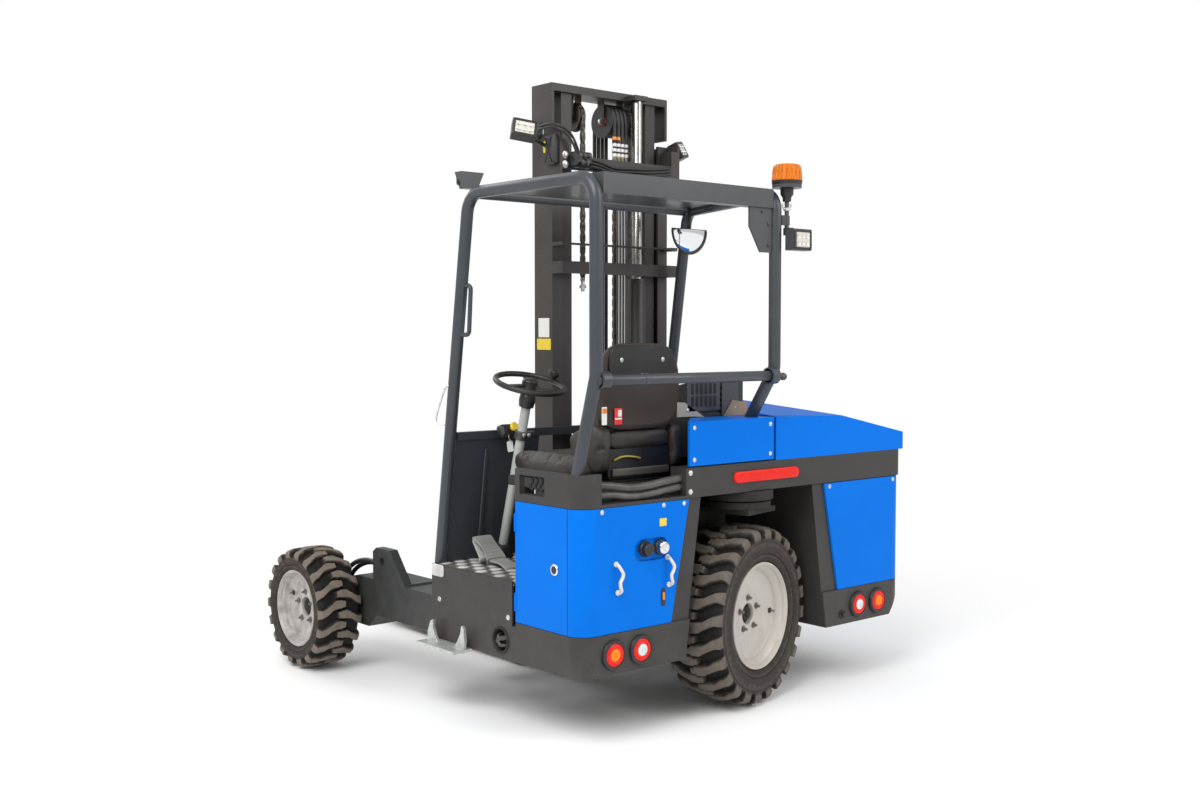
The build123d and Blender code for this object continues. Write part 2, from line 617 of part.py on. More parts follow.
# Reach cylinders under the casings push the sliding base forward
reach_barrels = Part()
reach_rods = Part()
for s in (-1, 1):
    barrel = rod((s * reach_x, 80, reach_z), (s * reach_x, 660, reach_z), 35)
    barrel = barrel - rod((s * reach_x, 92, reach_z), (s * reach_x, 661, reach_z), 18 + running_fit)
    reach_barrels = reach_barrels + barrel
    reach_rods = reach_rods + rod((s * reach_x, 98, reach_z), (s * reach_x, base_back, reach_z), 18)
for s in (-1, 1):
    cross = cross - rod((s * reach_x, 400, reach_z), (s * reach_x, 700, reach_z), 30)
nodes["straddle_frame"] = Part() + [cross + reach_barrels, arms[-1], arms[1]]
nodes["mast_base"] = nodes["mast_base"] + reach_rods

# Chains over their pulleys and four hoses over a wide one, all on the inner mast
def over_pulley(x, wide, radius, thick):
    band = rod((x - wide / 2, pulley_y, pulley_z), (x + wide / 2, pulley_y, pulley_z), radius + thick)
    band = band - rod((x - wide / 2 - 1, pulley_y, pulley_z), (x + wide / 2 + 1, pulley_y, pulley_z), radius)
    return band - block(x - wide, x + wide, pulley_y - 100, pulley_y + 100, pulley_z - 100, pulley_z)


def pulley(x0, x1, radius, flange):
    wheel = rod((x0, pulley_y, pulley_z), (x1, pulley_y, pulley_z), radius)
    for x in (x0, x1 - 4):
        wheel = wheel + rod((x, pulley_y, pulley_z), (x + 4, pulley_y, pulley_z), flange)
    return wheel - rod((x0 - 1, pulley_y, pulley_z), (x1 + 1, pulley_y, pulley_z), 12 + running_fit)


chain_radius = 52
chains = Part()
for s in (-1, 1):
    x = s * chain_x
    chain = over_pulley(x, 22, chain_radius + slide_fit, 17)
    for y, low in ((pulley_y - chain_radius - slide_fit - 17, 1790), (pulley_y + chain_radius + slide_fit, 560)):
        chain = chain + block(x - 11, x + 11, y, y + 17, low, pulley_z)
    chains = chains + chain + pulley(x - 17, x + 17, chain_radius, chain_radius + 12)
nodes["lift_chains"] = chains
hose_radius = 9
hose_path = 62 + slide_fit + hose_radius
hoses = Part() + pulley(hose_row[0] - 16, hose_row[-1] + 14, 62, 76)
for x in hose_row:
    lower = (x, pulley_y - hose_path, 2340)
    front = (x, pulley_y + hose_path, 700)
    bend = bent_tube(
        [lower, (x, lower[1], pulley_z + hose_path), (x, front[1], pulley_z + hose_path), front],
        hose_radius, hose_path - 0.5
    )
    hoses = hoses + bend
nodes["mast_hoses"] = hoses

# Lamps, beacon, mirror and handle
tail_lamps = (-802, -665, 641, 777)
tail_z = 345
lens_radius = 44
lenses = Part()
rims = Part()
for x in tail_lamps:
    lenses = lenses + rod((x, rear_face - 11, tail_z), (x, rear_face, tail_z), lens_radius)
    rims = rims + rod((x, rear_face - 8, tail_z), (x, rear_face + 2, tail_z), lens_radius + 12)
    rims = rims - rod((x, rear_face - 9, tail_z), (x, rear_face, tail_z), lens_radius + slide_fit)
strip = block(-159, 231, rear_face - 9, rear_face, 941, 987)
strip = fillet(strip.edges().filter_by(Axis.Y), 21)
nodes["rear_lamps"] = lenses + strip
nodes["rear_body"] = nodes["rear_body"] + rims
beacon_x = guard_right_rear + 60
beacon_low = 2110
beacon_y = rear_post_y - 8
pole = rod((beacon_x, beacon_y, 1975), (beacon_x, beacon_y, beacon_low), 9)
pole = pole + rod((beacon_x, beacon_y, beacon_low), (beacon_x, beacon_y, beacon_low + 26), 26)
pole = pole + rod((beacon_x, beacon_y, beacon_low + 26), (beacon_x, beacon_y, beacon_low + 54), 60)
pole = pole + block(guard_right_rear + tube + slide_fit, beacon_x + 12, beacon_y - 6, beacon_y + 6, 1985, 2025)
dome = [(0, 54.3), (62, 54.3), (62, 66), (57, 112), (46, 124), (0, 124)]
dome_plane = Plane(origin=(beacon_x, beacon_y, beacon_low), x_dir=(1, 0, 0), z_dir=(0, -1, 0))
dome_axis = Axis((beacon_x, beacon_y, 0), (0, 0, 1))
nodes["beacon"] = revolve(dome_plane * make_face(Polyline(*dome, close=True)), dome_axis)
lamp_rear = rear_post_y - 75
rear_lamp = block(beacon_x - 32, beacon_x + 76, lamp_rear, lamp_rear + 46, 1882, 1968)
rear_lamp = rear_lamp + block(beacon_x - 12, beacon_x + 12, lamp_rear + 40, beacon_y + 8, 1945, 1975)
gusset = along_y(
    [(-134, 2052), (-4, 2052), (-4, 1871), (-70, 1871), (-134, 1972)], rear_post_y - 4, rear_post_y + 4
)
front_lamp = along_y([
    (post_x - 16, roof_z + 20), (post_x + 40, roof_z + 20), (post_x + 70, roof_z + 86), (post_x - 40, roof_z + 86)
], roof_front_y - 8, roof_front_y + 42)
nodes["roof"] = roof + (gusset - right_hoop) + front_lamp + (pole + rear_lamp)
for s, turn, y in ((-1, 20, 800), (1, -20, 850)):
    lamp_x = s * (rail_outer + 140)
    lamp = Pos(lamp_x, y, mast_high) * Rot(-18, turn, 25 * s) * Box(110, 46, 84)
    arm = rod((s * rail_outer, y, mast_high - 60), (lamp_x, y, mast_high - 16), 8)
    nodes["outer_mast"] = nodes["outer_mast"] + lamp + arm
mirror = rod((190, 470, 2000), (190, 450, 2000), 110)
nodes["mirror"] = mirror - block(0, 400, 400, 500, 2020, 2200) + rod((190, 460, 1990), (190, 460, roof_z + 4), 8)
handle = bent_tube([(post_x, 625, 1740), (post_x, 575, 1740), (post_x, 590, 1540), (post_x, 650, 1540)], 9, 20)
nodes["guard_left"] = left_hoop + handle + rear_rail
nodes["guard_right"] = right_hoop

# The box's middle comes to Y = 0
front_most = bar_front + slide_fit + fork_thick + fork_length
y_middle = (lamp_rear + front_most) / 2
for name, shape in nodes.items():
    export_step(Pos(0, -y_middle, 0) * shape, f"parts/{name}.step")
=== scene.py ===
import math

import bmesh
import bpy
import numpy as np
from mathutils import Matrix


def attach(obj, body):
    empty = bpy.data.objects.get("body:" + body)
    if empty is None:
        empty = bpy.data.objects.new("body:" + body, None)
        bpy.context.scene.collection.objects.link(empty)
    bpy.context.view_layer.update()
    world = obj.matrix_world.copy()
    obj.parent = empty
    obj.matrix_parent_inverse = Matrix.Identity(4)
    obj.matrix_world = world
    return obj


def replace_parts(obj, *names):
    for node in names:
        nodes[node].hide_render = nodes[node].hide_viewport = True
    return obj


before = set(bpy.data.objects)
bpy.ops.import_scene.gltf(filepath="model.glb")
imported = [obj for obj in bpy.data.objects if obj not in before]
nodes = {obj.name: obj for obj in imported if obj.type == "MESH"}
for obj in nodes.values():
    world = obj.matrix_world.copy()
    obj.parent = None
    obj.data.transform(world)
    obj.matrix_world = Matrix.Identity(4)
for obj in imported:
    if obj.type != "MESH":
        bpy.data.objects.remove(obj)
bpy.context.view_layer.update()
scene = bpy.context.scene
to_right, to_left, to_rear, upward = (1, 0, 0), (-1, 0, 0), (0, -1, 0), (0, 0, 1)

# Camera: a plain lens at a person's eye height, behind and to the left of the machine.
# It looks 40.6 degrees to the right of straight ahead and a little down.
camera_data = bpy.data.cameras.new("camera")
camera_data.sensor_width = 36.0
camera_data.lens = 39.54
camera_data.clip_end = 200.0
camera = bpy.data.objects.new("camera", camera_data)
camera.location = (-4.012, -4.815, 1.539)
camera.rotation_euler = (math.radians(90.0 - 2.82), 0.0, math.radians(-40.6))
scene.collection.objects.link(camera)
scene.camera = camera
scene.view_settings.view_transform = "Standard"


# Studio: a white room seen by the camera, a gentler one that lights the machine,
# a pale floor that keeps the shadow, and three large soft lamps that give form.
def feed(tree, node, sockets):
    """Sets a shader node's sockets to a number or a colour, or links them to another node's output."""
    for key, value in sockets.items():
        if isinstance(value, bpy.types.NodeSocket):
            tree.links.new(value, node.inputs[key])
        else:
            node.inputs[key].default_value = value


def add_node(tree, kind, sockets, **settings):
    """A new shader node with its settings and sockets; what comes back are its outputs."""
    node = tree.nodes.new("ShaderNode" + kind)
    for key, value in settings.items():
        setattr(node, key, value)
    feed(tree, node, sockets)
    return node.outputs


def new_material(name, sockets):
    """A material with nodes: itself, its tree, its shader with some sockets set, and the object's coordinates."""
    made = bpy.data.materials.new(name)
    made.use_nodes = True
    shader = made.node_tree.nodes["Principled BSDF"]
    feed(made.node_tree, shader, sockets)
    return made, made.node_tree, shader, add_node(made.node_tree, "TexCoord", {})["Object"]


black, white = (0.0, 0.0, 0.0), (1.0, 1.0, 1.0)
world = bpy.data.worlds.new("studio")
world.use_nodes = True
studio = world.node_tree
fill_light = studio.nodes["Background"]
feed(studio, fill_light, {"Color": (*white, 1.0), "Strength": 0.62})
seen_white = add_node(studio, "Background", {"Color": (*white, 1.0), "Strength": 1.0})
ray_kind = add_node(studio, "LightPath", {})
seen = add_node(studio, "Math", {0: ray_kind["Is Camera Ray"], 1: ray_kind["Is Transmission Ray"]}, operation="MAXIMUM")
room = add_node(studio, "MixShader", {"Fac": seen[0], 1: fill_light.outputs["Background"], 2: seen_white["Background"]})
feed(studio, studio.nodes["World Output"], {"Surface": room["Shader"]})
scene.world = world
floor_mesh = bpy.data.meshes.new("studio_floor")
floor_mesh.from_pydata([(-60, -60, 0), (60, -60, 0), (60, 60, 0), (-60, 60, 0)], [], [(0, 1, 2, 3)])
floor = bpy.data.objects.new("studio_floor", floor_mesh)
scene.collection.objects.link(floor)
floor_look = {"Base Color": (0.97, 0.97, 0.97, 1.0), "Roughness": 0.9, "Specular IOR Level": 0.1}
floor_paint, floor_tree, floor_shader, floor_place = new_material("studio_floor", floor_look)
reach = add_node(floor_tree, "VectorMath", {0: floor_place}, operation="LENGTH")["Value"]
fade = add_node(floor_tree, "MapRange", {"Value": reach, "From Min": 1.7, "From Max": 3.6})["Result"]
far_white = add_node(floor_tree, "Emission", {"Color": (*white, 1.0)})["Emission"]
floor_mix = add_node(floor_tree, "MixShader", {"Fac": fade, 1: floor_shader.outputs["BSDF"], 2: far_white})
feed(floor_tree, floor_tree.nodes["Material Output"], {"Surface": floor_mix["Shader"]})
floor_mesh.materials.append(floor_paint)
for name, place, turn, power in (
    ("left_lamp", (-5.0, -2.5, 5.5), (38.0, 0.0, -62.0), 330.0),
    ("rear_lamp", (2.5, -6.0, 4.5), (52.0, 0.0, 22.0), 170.0),
    ("front_lamp", (-1.0, 6.0, 5.0), (-50.0, 0.0, 8.0), 150.0),
):
    lamp_data = bpy.data.lights.new(name, "AREA")
    lamp_data.size = 4.0
    lamp_data.energy = power
    lamp = bpy.data.objects.new(name, lamp_data)
    lamp.location = place
    lamp.rotation_euler = [math.radians(value) for value in turn]
    scene.collection.objects.link(lamp)


# Chassis: folded and welded plate in dark warm grey two-part paint, satin, with dust
# that lies heavier low down and small chips along what is brushed by boots and straps.
def ramp(tree, source, first, last, between=()):
    """A colour ramp over a value; each stop is a place from 0 to 1 and a colour."""
    node = tree.nodes.new("ShaderNodeValToRGB")
    stops = node.color_ramp.elements
    for number, (place, colour) in enumerate((first, last)):
        stops[number].position = place
        stops[number].color = (*colour, 1.0)
    for place, colour in between:
        stops.new(place).color = (*colour, 1.0)
    feed(tree, node, {"Fac": source})
    return node.outputs["Color"]


def paint(name, colour, rough, mottle=0.1, peel=0.03, peel_size=420.0, coat=0.0, metal=0.0, cloud=5.0,
          chips=0.0, chip_colour=(0.22, 0.2, 0.17), dust=0.0, dust_colour=(0.3, 0.26, 0.21), dust_top=0.9, specular=0.5):
    """A finish from object coordinates: two clouds of noise vary colour and gloss, a fine noise
    gives the surface its tooth, chips show where a coarse noise is high, and dust falls off with height."""
    made, tree, shader, place = new_material(name, {
        "Metallic": metal, "Coat Weight": coat, "Coat Roughness": 0.1, "Specular IOR Level": specular})

    def noise(scale, detail, rough_noise=0.6):
        return add_node(tree, "TexNoise", {"Vector": place, "Scale": scale, "Detail": detail, "Roughness": rough_noise})["Fac"]

    def over(mask, under, colour_over):
        return add_node(tree, "Mix", {0: mask, 6: under, 7: (*colour_over, 1.0)}, data_type="RGBA")[2]

    clouds = noise(cloud, 7.0)
    dark = [channel * (1.0 - mottle) for channel in colour]
    light = [min(1.0, channel * (1.0 + mottle) + 0.02 * mottle) for channel in colour]
    shade = ramp(tree, clouds, (0.36, dark), (0.66, light))
    if dust:
        height = add_node(tree, "SeparateXYZ", {"Vector": place})["Z"]
        fall = add_node(tree, "MapRange", {"Value": height, "From Min": dust_top, "From Max": 0.0, "To Max": dust})["Result"]
        patches = ramp(tree, noise(16.0, 9.0, 0.7), (0.35, black), (0.7, white))
        shade = over(add_node(tree, "Math", {0: fall, 1: patches}, operation="MULTIPLY")[0], shade, dust_colour)
    if chips:
        spots = ramp(tree, noise(38.0, 10.0, 0.78), (0.7 - 0.09 * chips, black), (0.73 - 0.07 * chips, white))
        shade = over(spots, shade, chip_colour)
    gloss = add_node(tree, "MapRange", {"Value": clouds, "To Min": max(0.02, rough - 0.08), "To Max": min(1.0, rough + 0.12)})
    tooth = add_node(tree, "Bump", {"Height": noise(peel_size, 3.0), "Strength": peel, "Distance": 0.002})
    feed(tree, shader, {"Base Color": shade, "Roughness": gloss["Result"], "Normal": tooth["Normal"]})
    return made


def dress(material, *names):
    """Gives CAD nodes a finish and a fine rounded edge that catches the light."""
    for name in names:
        for held in nodes[name].material_slots:
            held.material = material
        weld = nodes[name].modifiers.new("weld", "WELD")
        weld.merge_threshold = 0.00001
        edge = nodes[name].modifiers.new("edge", "BEVEL")
        edge.width = 0.0016
        edge.segments = 2
        edge.limit_method = "ANGLE"
        edge.angle_limit = math.radians(40.0)
        edge.harden_normals = False


dress(paint("frame_grey", (0.039, 0.037, 0.0355), 0.45, mottle=0.08, chips=0.25, dust=0.1, specular=0.35),
      "rear_body", "skirts", "bay_walls", "seat_base")
# The arch and the yoke over the rear wheel take near-black paint as painted shade of the dark space round the slewing
# ring; its chips and dust are wear.
near_black_and_shade = paint("near_black_and_shade", (0.016, 0.0145, 0.0135), 0.6, mottle=0.3, chips=0.6,
                   chip_colour=(0.09, 0.07, 0.055), dust=0.3, dust_colour=(0.1, 0.085, 0.07), specular=0.3)
dress(near_black_and_shade, "wheel_arch", "rear_yoke")
dress(paint("arm_grey", (0.027, 0.03, 0.031), 0.42, mottle=0.12, chips=0.3, dust=0.15, specular=0.4), "straddle_frame")


# Coloured covers: pressed sheet panels, the left door, the box and the hood,
# in a deep blue gloss paint, held by domed screws along their upper edges.
def metres(x, y, z):
    """A place from millimetres off the rear wheel's steering axis: Y moves to the middle of the box."""
    return (x / 1000.0, y / 1000.0 - 0.99515, z / 1000.0)


def add_piece(name, part, material, body="chassis"):
    """One closed mesh from (points, lists of corners): doubles are merged, faces are turned outwards,
    and edges sharper than 40 degrees stay crisp. It holds the given material and rides on its body."""
    points, faces = part
    mesh = bpy.data.meshes.new(name)
    mesh.from_pydata(np.asarray(points, float).reshape(-1, 3).tolist(), [], [list(face) for face in faces])
    work = bmesh.new()
    work.from_mesh(mesh)
    bmesh.ops.remove_doubles(work, verts=work.verts, dist=0.00002)
    bmesh.ops.recalc_face_normals(work, faces=work.faces)
    work.to_mesh(mesh)
    work.free()
    mesh.materials.append(material)
    mesh.shade_smooth()
    mesh.set_sharp_from_angle(angle=math.radians(40.0))
    made = bpy.data.objects.new(name, mesh)
    scene.collection.objects.link(made)
    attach(made, body)
    return made


def grid_faces(rows, columns, closed_rows=False, closed_columns=False):
    """Corners of every cell of a rows x columns grid of points, wrapping round where it is closed."""
    down = np.arange(rows if closed_rows else rows - 1)
    along = np.arange(columns if closed_columns else columns - 1)
    i, j = np.meshgrid(down, along, indexing="ij")
    i2, j2 = (i + 1) % rows, (j + 1) % columns
    return np.stack([i * columns + j, i * columns + j2, i2 * columns + j2, i2 * columns + j], -1).reshape(-1, 4)


def upright_frame(axis):
    """Two directions square to an axis and to each other."""
    axis = np.asarray(axis, float) / np.linalg.norm(axis)
    helper = np.array([0.0, 0.0, 1.0]) if abs(axis[2]) < 0.9 else np.array([1.0, 0.0, 0.0])
    first = np.cross(helper, axis)
    first /= np.linalg.norm(first)
    return axis, first, np.cross(axis, first)


def turned(profile, origin, axis, steps=48):
    """A lathe form: each (height, radius) of the profile goes round the axis through the origin."""
    axis, first, second = upright_frame(axis)
    profile = np.asarray(profile, float)
    angle = np.linspace(0, 2 * math.pi, steps, endpoint=False)
    round_ = np.cos(angle)[:, None] * first + np.sin(angle)[:, None] * second
    points = np.asarray(origin, float) + profile[:, None, :1] * axis + profile[:, None, 1:] * round_[None]
    return points.reshape(-1, 3), grid_faces(len(profile), steps, closed_columns=True)


def joined(parts):
    """Several (points, faces) made one: the corners of each are shifted past the points before it."""
    points, faces, count = [], [], 0
    for part_points, part_faces in parts:
        part_points = np.asarray(part_points, float).reshape(-1, 3)
        points.append(part_points)
        faces.extend([int(corner) + count for corner in face] for face in part_faces)
        count += len(part_points)
    return np.concatenate(points), faces


def repeated(part, places):
    """Copies of one part: its points plus each place, with the corners shifted once per copy."""
    points, faces = part
    places = np.asarray(places, float)
    many = (points[None] + places[:, None, :]).reshape(-1, 3)
    shift = np.arange(len(places)) * len(points)
    return many, (np.asarray(faces)[None] + shift[:, None, None]).reshape(-1, len(faces[0]))


def set_heads(name, head, corners, material=None, body="chassis"):
    """One piece of like heads at several places in millimetres, in plated steel unless another is given."""
    return add_piece(name, repeated(head, [metres(*corner) for corner in corners]), material or zinc_screw, body)


def screw_head(axis, radius=0.006):
    """A domed screw head on its washer, turned about its axis, with a blind socket in the middle."""
    profile = np.array([(-0.1, 1.5), (0.14, 1.5), (0.18, 1.42), (0.18, 1.0), (0.5, 0.92), (0.72, 0.62), (0.76, 0.4),
                        (0.3, 0.36), (0.3, 0.0)]) * radius
    return turned(profile, (0, 0, 0), axis, 14)


def hex_bolt(axis, radius=0.012):
    """A six-sided bolt head with a chamfered crown on a round washer."""
    washer = np.array([(-0.05, 0.0), (-0.05, 1.35), (0.16, 1.35), (0.18, 1.2), (0.18, 0.0)]) * radius
    head = np.array([(0.16, 1.0), (0.72, 1.0), (0.82, 0.86), (0.84, 0.0)]) * radius
    return joined([turned(washer, (0, 0, 0), axis, 24), turned(head, (0, 0, 0), axis, 6)])


panel_blue = paint("panel_blue", (0.0, 0.158, 0.69), 0.38, mottle=0.03, peel=0.008, cloud=2.0, specular=0.06)
dress(panel_blue, "body_panels", "left_door", "engine_hood", "hood_box")
zinc_screw = paint("zinc_screw", (0.72, 0.72, 0.7), 0.35, mottle=0.15, metal=0.85, cloud=60.0)
rear_screw = screw_head(to_rear)
set_heads("panel_screws", rear_screw, [(x, -152, 886 if x == -545 else 884) for x in (-858, -545, -436, 442, 886)])
set_heads("box_screws", rear_screw, ((-380, -152, 1050), (-380, -152, 1176), (60, -152, 1050), (60, -152, 1172)))
set_heads("right_panel_screws", screw_head(to_right), [(962, y, z) for y in (-40, 600) for z in (446, 880)])


# Door lock: a chromed quarter-turn latch with a black plug and a key slot, in the left door.
# Both are lathe forms on one axis, which ride on the door.
black_plastic = paint("black_plastic", (0.018, 0.018, 0.019), 0.42, peel=0.15, peel_size=700.0)
chrome = paint("bright_chrome", (0.78, 0.78, 0.79), 0.1, mottle=0.03, peel=0.0, metal=1.0)
for name, material, profile in (
    ("door_latch", chrome, [(0.0, 0.022), (0.004, 0.022), (0.006, 0.02), (0.006, 0.015), (0.002, 0.0145)]),
    ("door_latch_plug", black_plastic, [(0.0, 0.0146), (0.0035, 0.0144), (0.005, 0.012), (0.005, 0.0)]),
):
    add_piece(name, turned(profile, metres(-962, -3, 663), to_left), material, "left_door_body")


# Filler necks: two caps in the slot of the rear left panel, the left one all black,
# the right one with a bright chromed lid, each ribbed round its grip.
def round_plate(centre, across, up, width, height, corner, thick):
    """A thin plate: quarter circles at its corners joined by straight runs, its edge rolled over in three steps."""
    centre, across, up = (np.asarray(value, float) for value in (centre, across, up))
    out = np.cross(across, up)
    angle = np.linspace(0, 2 * math.pi, 32, endpoint=False) + math.pi / 64
    x = np.sign(np.cos(angle)) * (width / 2 - corner)
    y = np.sign(np.sin(angle)) * (height / 2 - corner)
    rings = []
    for grow, rise, share in ((0.0, 0.0, 1.0), (0.0, 0.7, 1.0), (-0.35, 1.0, 1.0), (-3.0, 1.0, 0.02)):
        reach = corner + grow * thick
        ring = np.stack([x + reach * np.cos(angle), y + reach * np.sin(angle)], -1) * share
        rings.append(centre + ring[:, :1] * across + ring[:, 1:] * up + rise * thick * out)
    rings.append(np.repeat((centre + thick * out)[None], 32, 0))
    return np.concatenate(rings), grid_faces(len(rings), 32, closed_columns=True)


def plate(x, y, z, width, height, corner, thick, across=to_right, up=upward):
    """The same plate about a place in millimetres; it stands upright and looks to the rear unless turned."""
    return round_plate(metres(x, y, z), across, up, width, height, corner, thick)


def ribbed_cap(origin, axis, radius, depth, ribs):
    """A lathe form whose radius swings by a cosine of the angle along its grip, smooth on its lid."""
    axis, first, second = upright_frame(axis)
    profile = np.array([(0.0, 1.0), (0.1, 1.05), (0.75, 1.05), (0.9, 1.0), (1.0, 0.86), (1.0, 0.5), (0.93, 0.45),
                        (0.93, 0.0)])
    grip = np.array([0.0, 1.0, 1.0, 0.6, 0.0, 0.0, 0.0, 0.0])
    angle = np.linspace(0, 2 * math.pi, ribs * 6, endpoint=False)
    swing = 1.0 + 0.035 * grip[:, None] * np.cos(ribs * angle)[None]
    round_ = np.cos(angle)[:, None] * first + np.sin(angle)[:, None] * second
    reach = (profile[:, 1] * radius)[:, None] * swing
    points = np.asarray(origin) + (profile[:, 0] * depth)[:, None, None] * axis + reach[..., None] * round_
    return points.reshape(-1, 3), grid_faces(len(profile), len(angle), closed_columns=True)


for name, x, material in (("filler_cap_black", -644, black_plastic), ("filler_cap_bright", -566, chrome)):
    add_piece(name, ribbed_cap(metres(x, -158, 727), to_rear, 0.0235, 0.026, 16), material)
add_piece("filler_lining", plate(-608, -141.5, 722, 0.1715, 0.0835, 0.04, 0.0015), panel_blue)
cap_collar = [(0.0, 0.031), (0.008, 0.031), (0.012, 0.028), (0.012, 0.02)]
add_piece("filler_collars", joined([turned(cap_collar, metres(x, -153, 727), to_rear) for x in (-644, -566)]), black_plastic)


# Rear hand pulls: cast in pale coated metal, an S on two feet, bolted to the rear left panel.
# The bend is one smooth curve through ten places, the feet are low turned bosses.
def tube_along(path, radius, sides=12, squash=1.0, cap=True):
    """A round (or squashed) section carried along a path: its two directions are turned at each point
    by the least amount that keeps them square to the path. The ends close in a small dome."""
    path = np.asarray(path, float)
    radius = np.broadcast_to(np.asarray(radius, float), len(path)).copy()
    if cap:
        start, stop = path[0] - path[1], path[-1] - path[-2]
        start /= np.linalg.norm(start)
        stop /= np.linalg.norm(stop)
        path = np.concatenate([[path[0] + start * radius[0] * 0.3], path, [path[-1] + stop * radius[-1] * 0.3]])
        path = np.concatenate([path[:1], path, path[-1:]])
        radius = np.concatenate([[0.0, radius[0] * 0.8], radius, [radius[-1] * 0.8, 0.0]])
    step = np.gradient(path, axis=0)
    length = np.linalg.norm(step, axis=1)
    length[length == 0] = 1.0
    step = step / length[:, None]
    step[0], step[-1] = step[1], step[-2]
    _, first, _ = upright_frame(step[0])
    angle = np.linspace(0, 2 * math.pi, sides, endpoint=False)
    rings = []
    for place_, way, size in zip(path, step, radius):
        first = first - way * np.dot(first, way)
        first /= np.linalg.norm(first)
        second = np.cross(way, first)
        rings.append(place_ + size * (np.cos(angle)[:, None] * first + squash * np.sin(angle)[:, None] * second))
    return np.concatenate(rings), grid_faces(len(rings), sides, closed_columns=True)


def smooth_path(corners, count=60):
    """A curve through its corners in millimetres: each stretch blends the corners beside it by Catmull and Rom's cubic."""
    corners = np.array([metres(*corner) for corner in corners])
    padded = np.concatenate([2 * corners[:1] - corners[1:2], corners, 2 * corners[-1:] - corners[-2:-1]])
    where = np.linspace(0, len(corners) - 1 - 1e-9, count)
    k = where.astype(int)
    t = (where - k)[:, None]
    a, b, c, d = padded[k], padded[k + 1], padded[k + 2], padded[k + 3]
    return 0.5 * (2 * b + (c - a) * t + (2 * a - 5 * b + 4 * c - d) * t**2 + (3 * b - a - 3 * c + d) * t**3)


cast_pale = paint("cast_pale", (0.72, 0.68, 0.58), 0.38, mottle=0.08, peel=0.08, peel_size=300.0)
pull_bend = ((-5, -154, 684), (-6, -166, 682), (-1, -176, 668), (8, -179, 650), (5, -178, 634), (-5, -178, 618),
             (-3, -178, 600), (4, -174, 586), (5, -165, 578), (4, -154, 576))
pull_foot = [(0.0, 0.0105), (0.004, 0.0105), (0.006, 0.008), (0.007, 0.0)]
for number, x in enumerate((-785, -522), 1):
    pull = tube_along(smooth_path([(x + dx, y, z) for dx, y, z in pull_bend]), 0.0066)
    feet = [turned(pull_foot, metres(x + dx, -152, z), to_rear, 20) for dx, z in ((-5, 684), (4, 576))]
    add_piece(f"hand_pull_{number}", joined([pull] + feet), cast_pale)


# Small plates on the rear left panel: a blank yellow one by the fillers, and the slot below
# the right pull with its orange catch, both set flush on the panel.
yellow_plate = paint("yellow_plate", (0.82, 0.6, 0.03), 0.4, mottle=0.05)
orange_catch = paint("orange_catch", (0.8, 0.22, 0.02), 0.4, mottle=0.05)
add_piece("yellow_plate", plate(-549, -152.2, 821, 0.036, 0.03, 0.003, 0.0012), yellow_plate)
add_piece("catch_slot", plate(-548, -152.2, 530, 0.022, 0.07, 0.01, 0.0025), black_plastic)
add_piece("catch_lever", plate(-548, -154.8, 534, 0.01, 0.03, 0.004, 0.004), orange_catch)


# Tie-down hook and sill bolts: small hardware of the sides and of the straddle arms.
# The tie-down recess in the left skirt holds a bent bar hook behind a rolled steel ring.
tie_centre = metres(-963, 340, 338)
tie_ring = [(-0.03, 0.0435), (0.0, 0.0435), (0.004, 0.046), (0.005, 0.05), (0.002, 0.055), (-0.002, 0.056)]
add_piece("tie_recess_ring", turned(tie_ring, tie_centre, to_left), near_black_and_shade)
add_piece("tie_recess_bowl", turned([(-0.03, 0.0434), (-0.034, 0.03), (-0.036, 0.0)], tie_centre, to_left), near_black_and_shade)
tie_bar = ((-934, 304, 352), (-954, 312, 352), (-962, 340, 344), (-956, 366, 330), (-934, 376, 326))
tie_hook = ((-930, 318, 318), (-954, 322, 318), (-964, 344, 322), (-958, 360, 350), (-932, 366, 358))
add_piece("tie_hook", joined([tube_along(smooth_path(tie_bar), 0.01), tube_along(smooth_path(tie_hook), 0.007)]),
          paint("dark_hook", (0.07, 0.07, 0.068), 0.4, mottle=0.2, metal=0.4))
set_heads("sill_bolts", hex_bolt(to_left, 0.008), ((-962, 770, 436), (-962, 290, 436)))
set_heads("beam_bolts", hex_bolt(to_rear, 0.008), ((-402, -152, 926), (-402, -152, 1000)))


# Rear lamps: four round lamps in black rubber rims, each a red ring lens round a centre that is
# amber outside and clear inside, and one long red marker lens on the beam. The lenses are moulded
# with rings and prisms and stand a little proud.
def lens_finish(name, colour, painted_glow):
    """Moulded clear plastic: a fine net of prisms under a smooth coat, with a little painted glow in the lens's colour
    standing for light scattered inside.
    """
    made, tree, shader, place = new_material(name, {
        "Emission Strength": painted_glow, "Roughness": 0.25, "Specular IOR Level": 0.16, "Coat Weight": 0.05})
    cells = add_node(tree, "TexVoronoi", {"Vector": place, "Scale": 190.0, "Randomness": 0.15})["Distance"]
    bright, deep = [min(1.0, value * 1.25 + 0.02) for value in colour], [value * 0.7 for value in colour]
    tint = ramp(tree, cells, (0.0, bright), (0.7, deep))
    prisms = add_node(tree, "Bump", {"Height": cells, "Strength": 0.35, "Distance": 0.001})["Normal"]
    feed(tree, shader, {"Base Color": tint, "Emission Color": tint, "Normal": prisms})
    return made


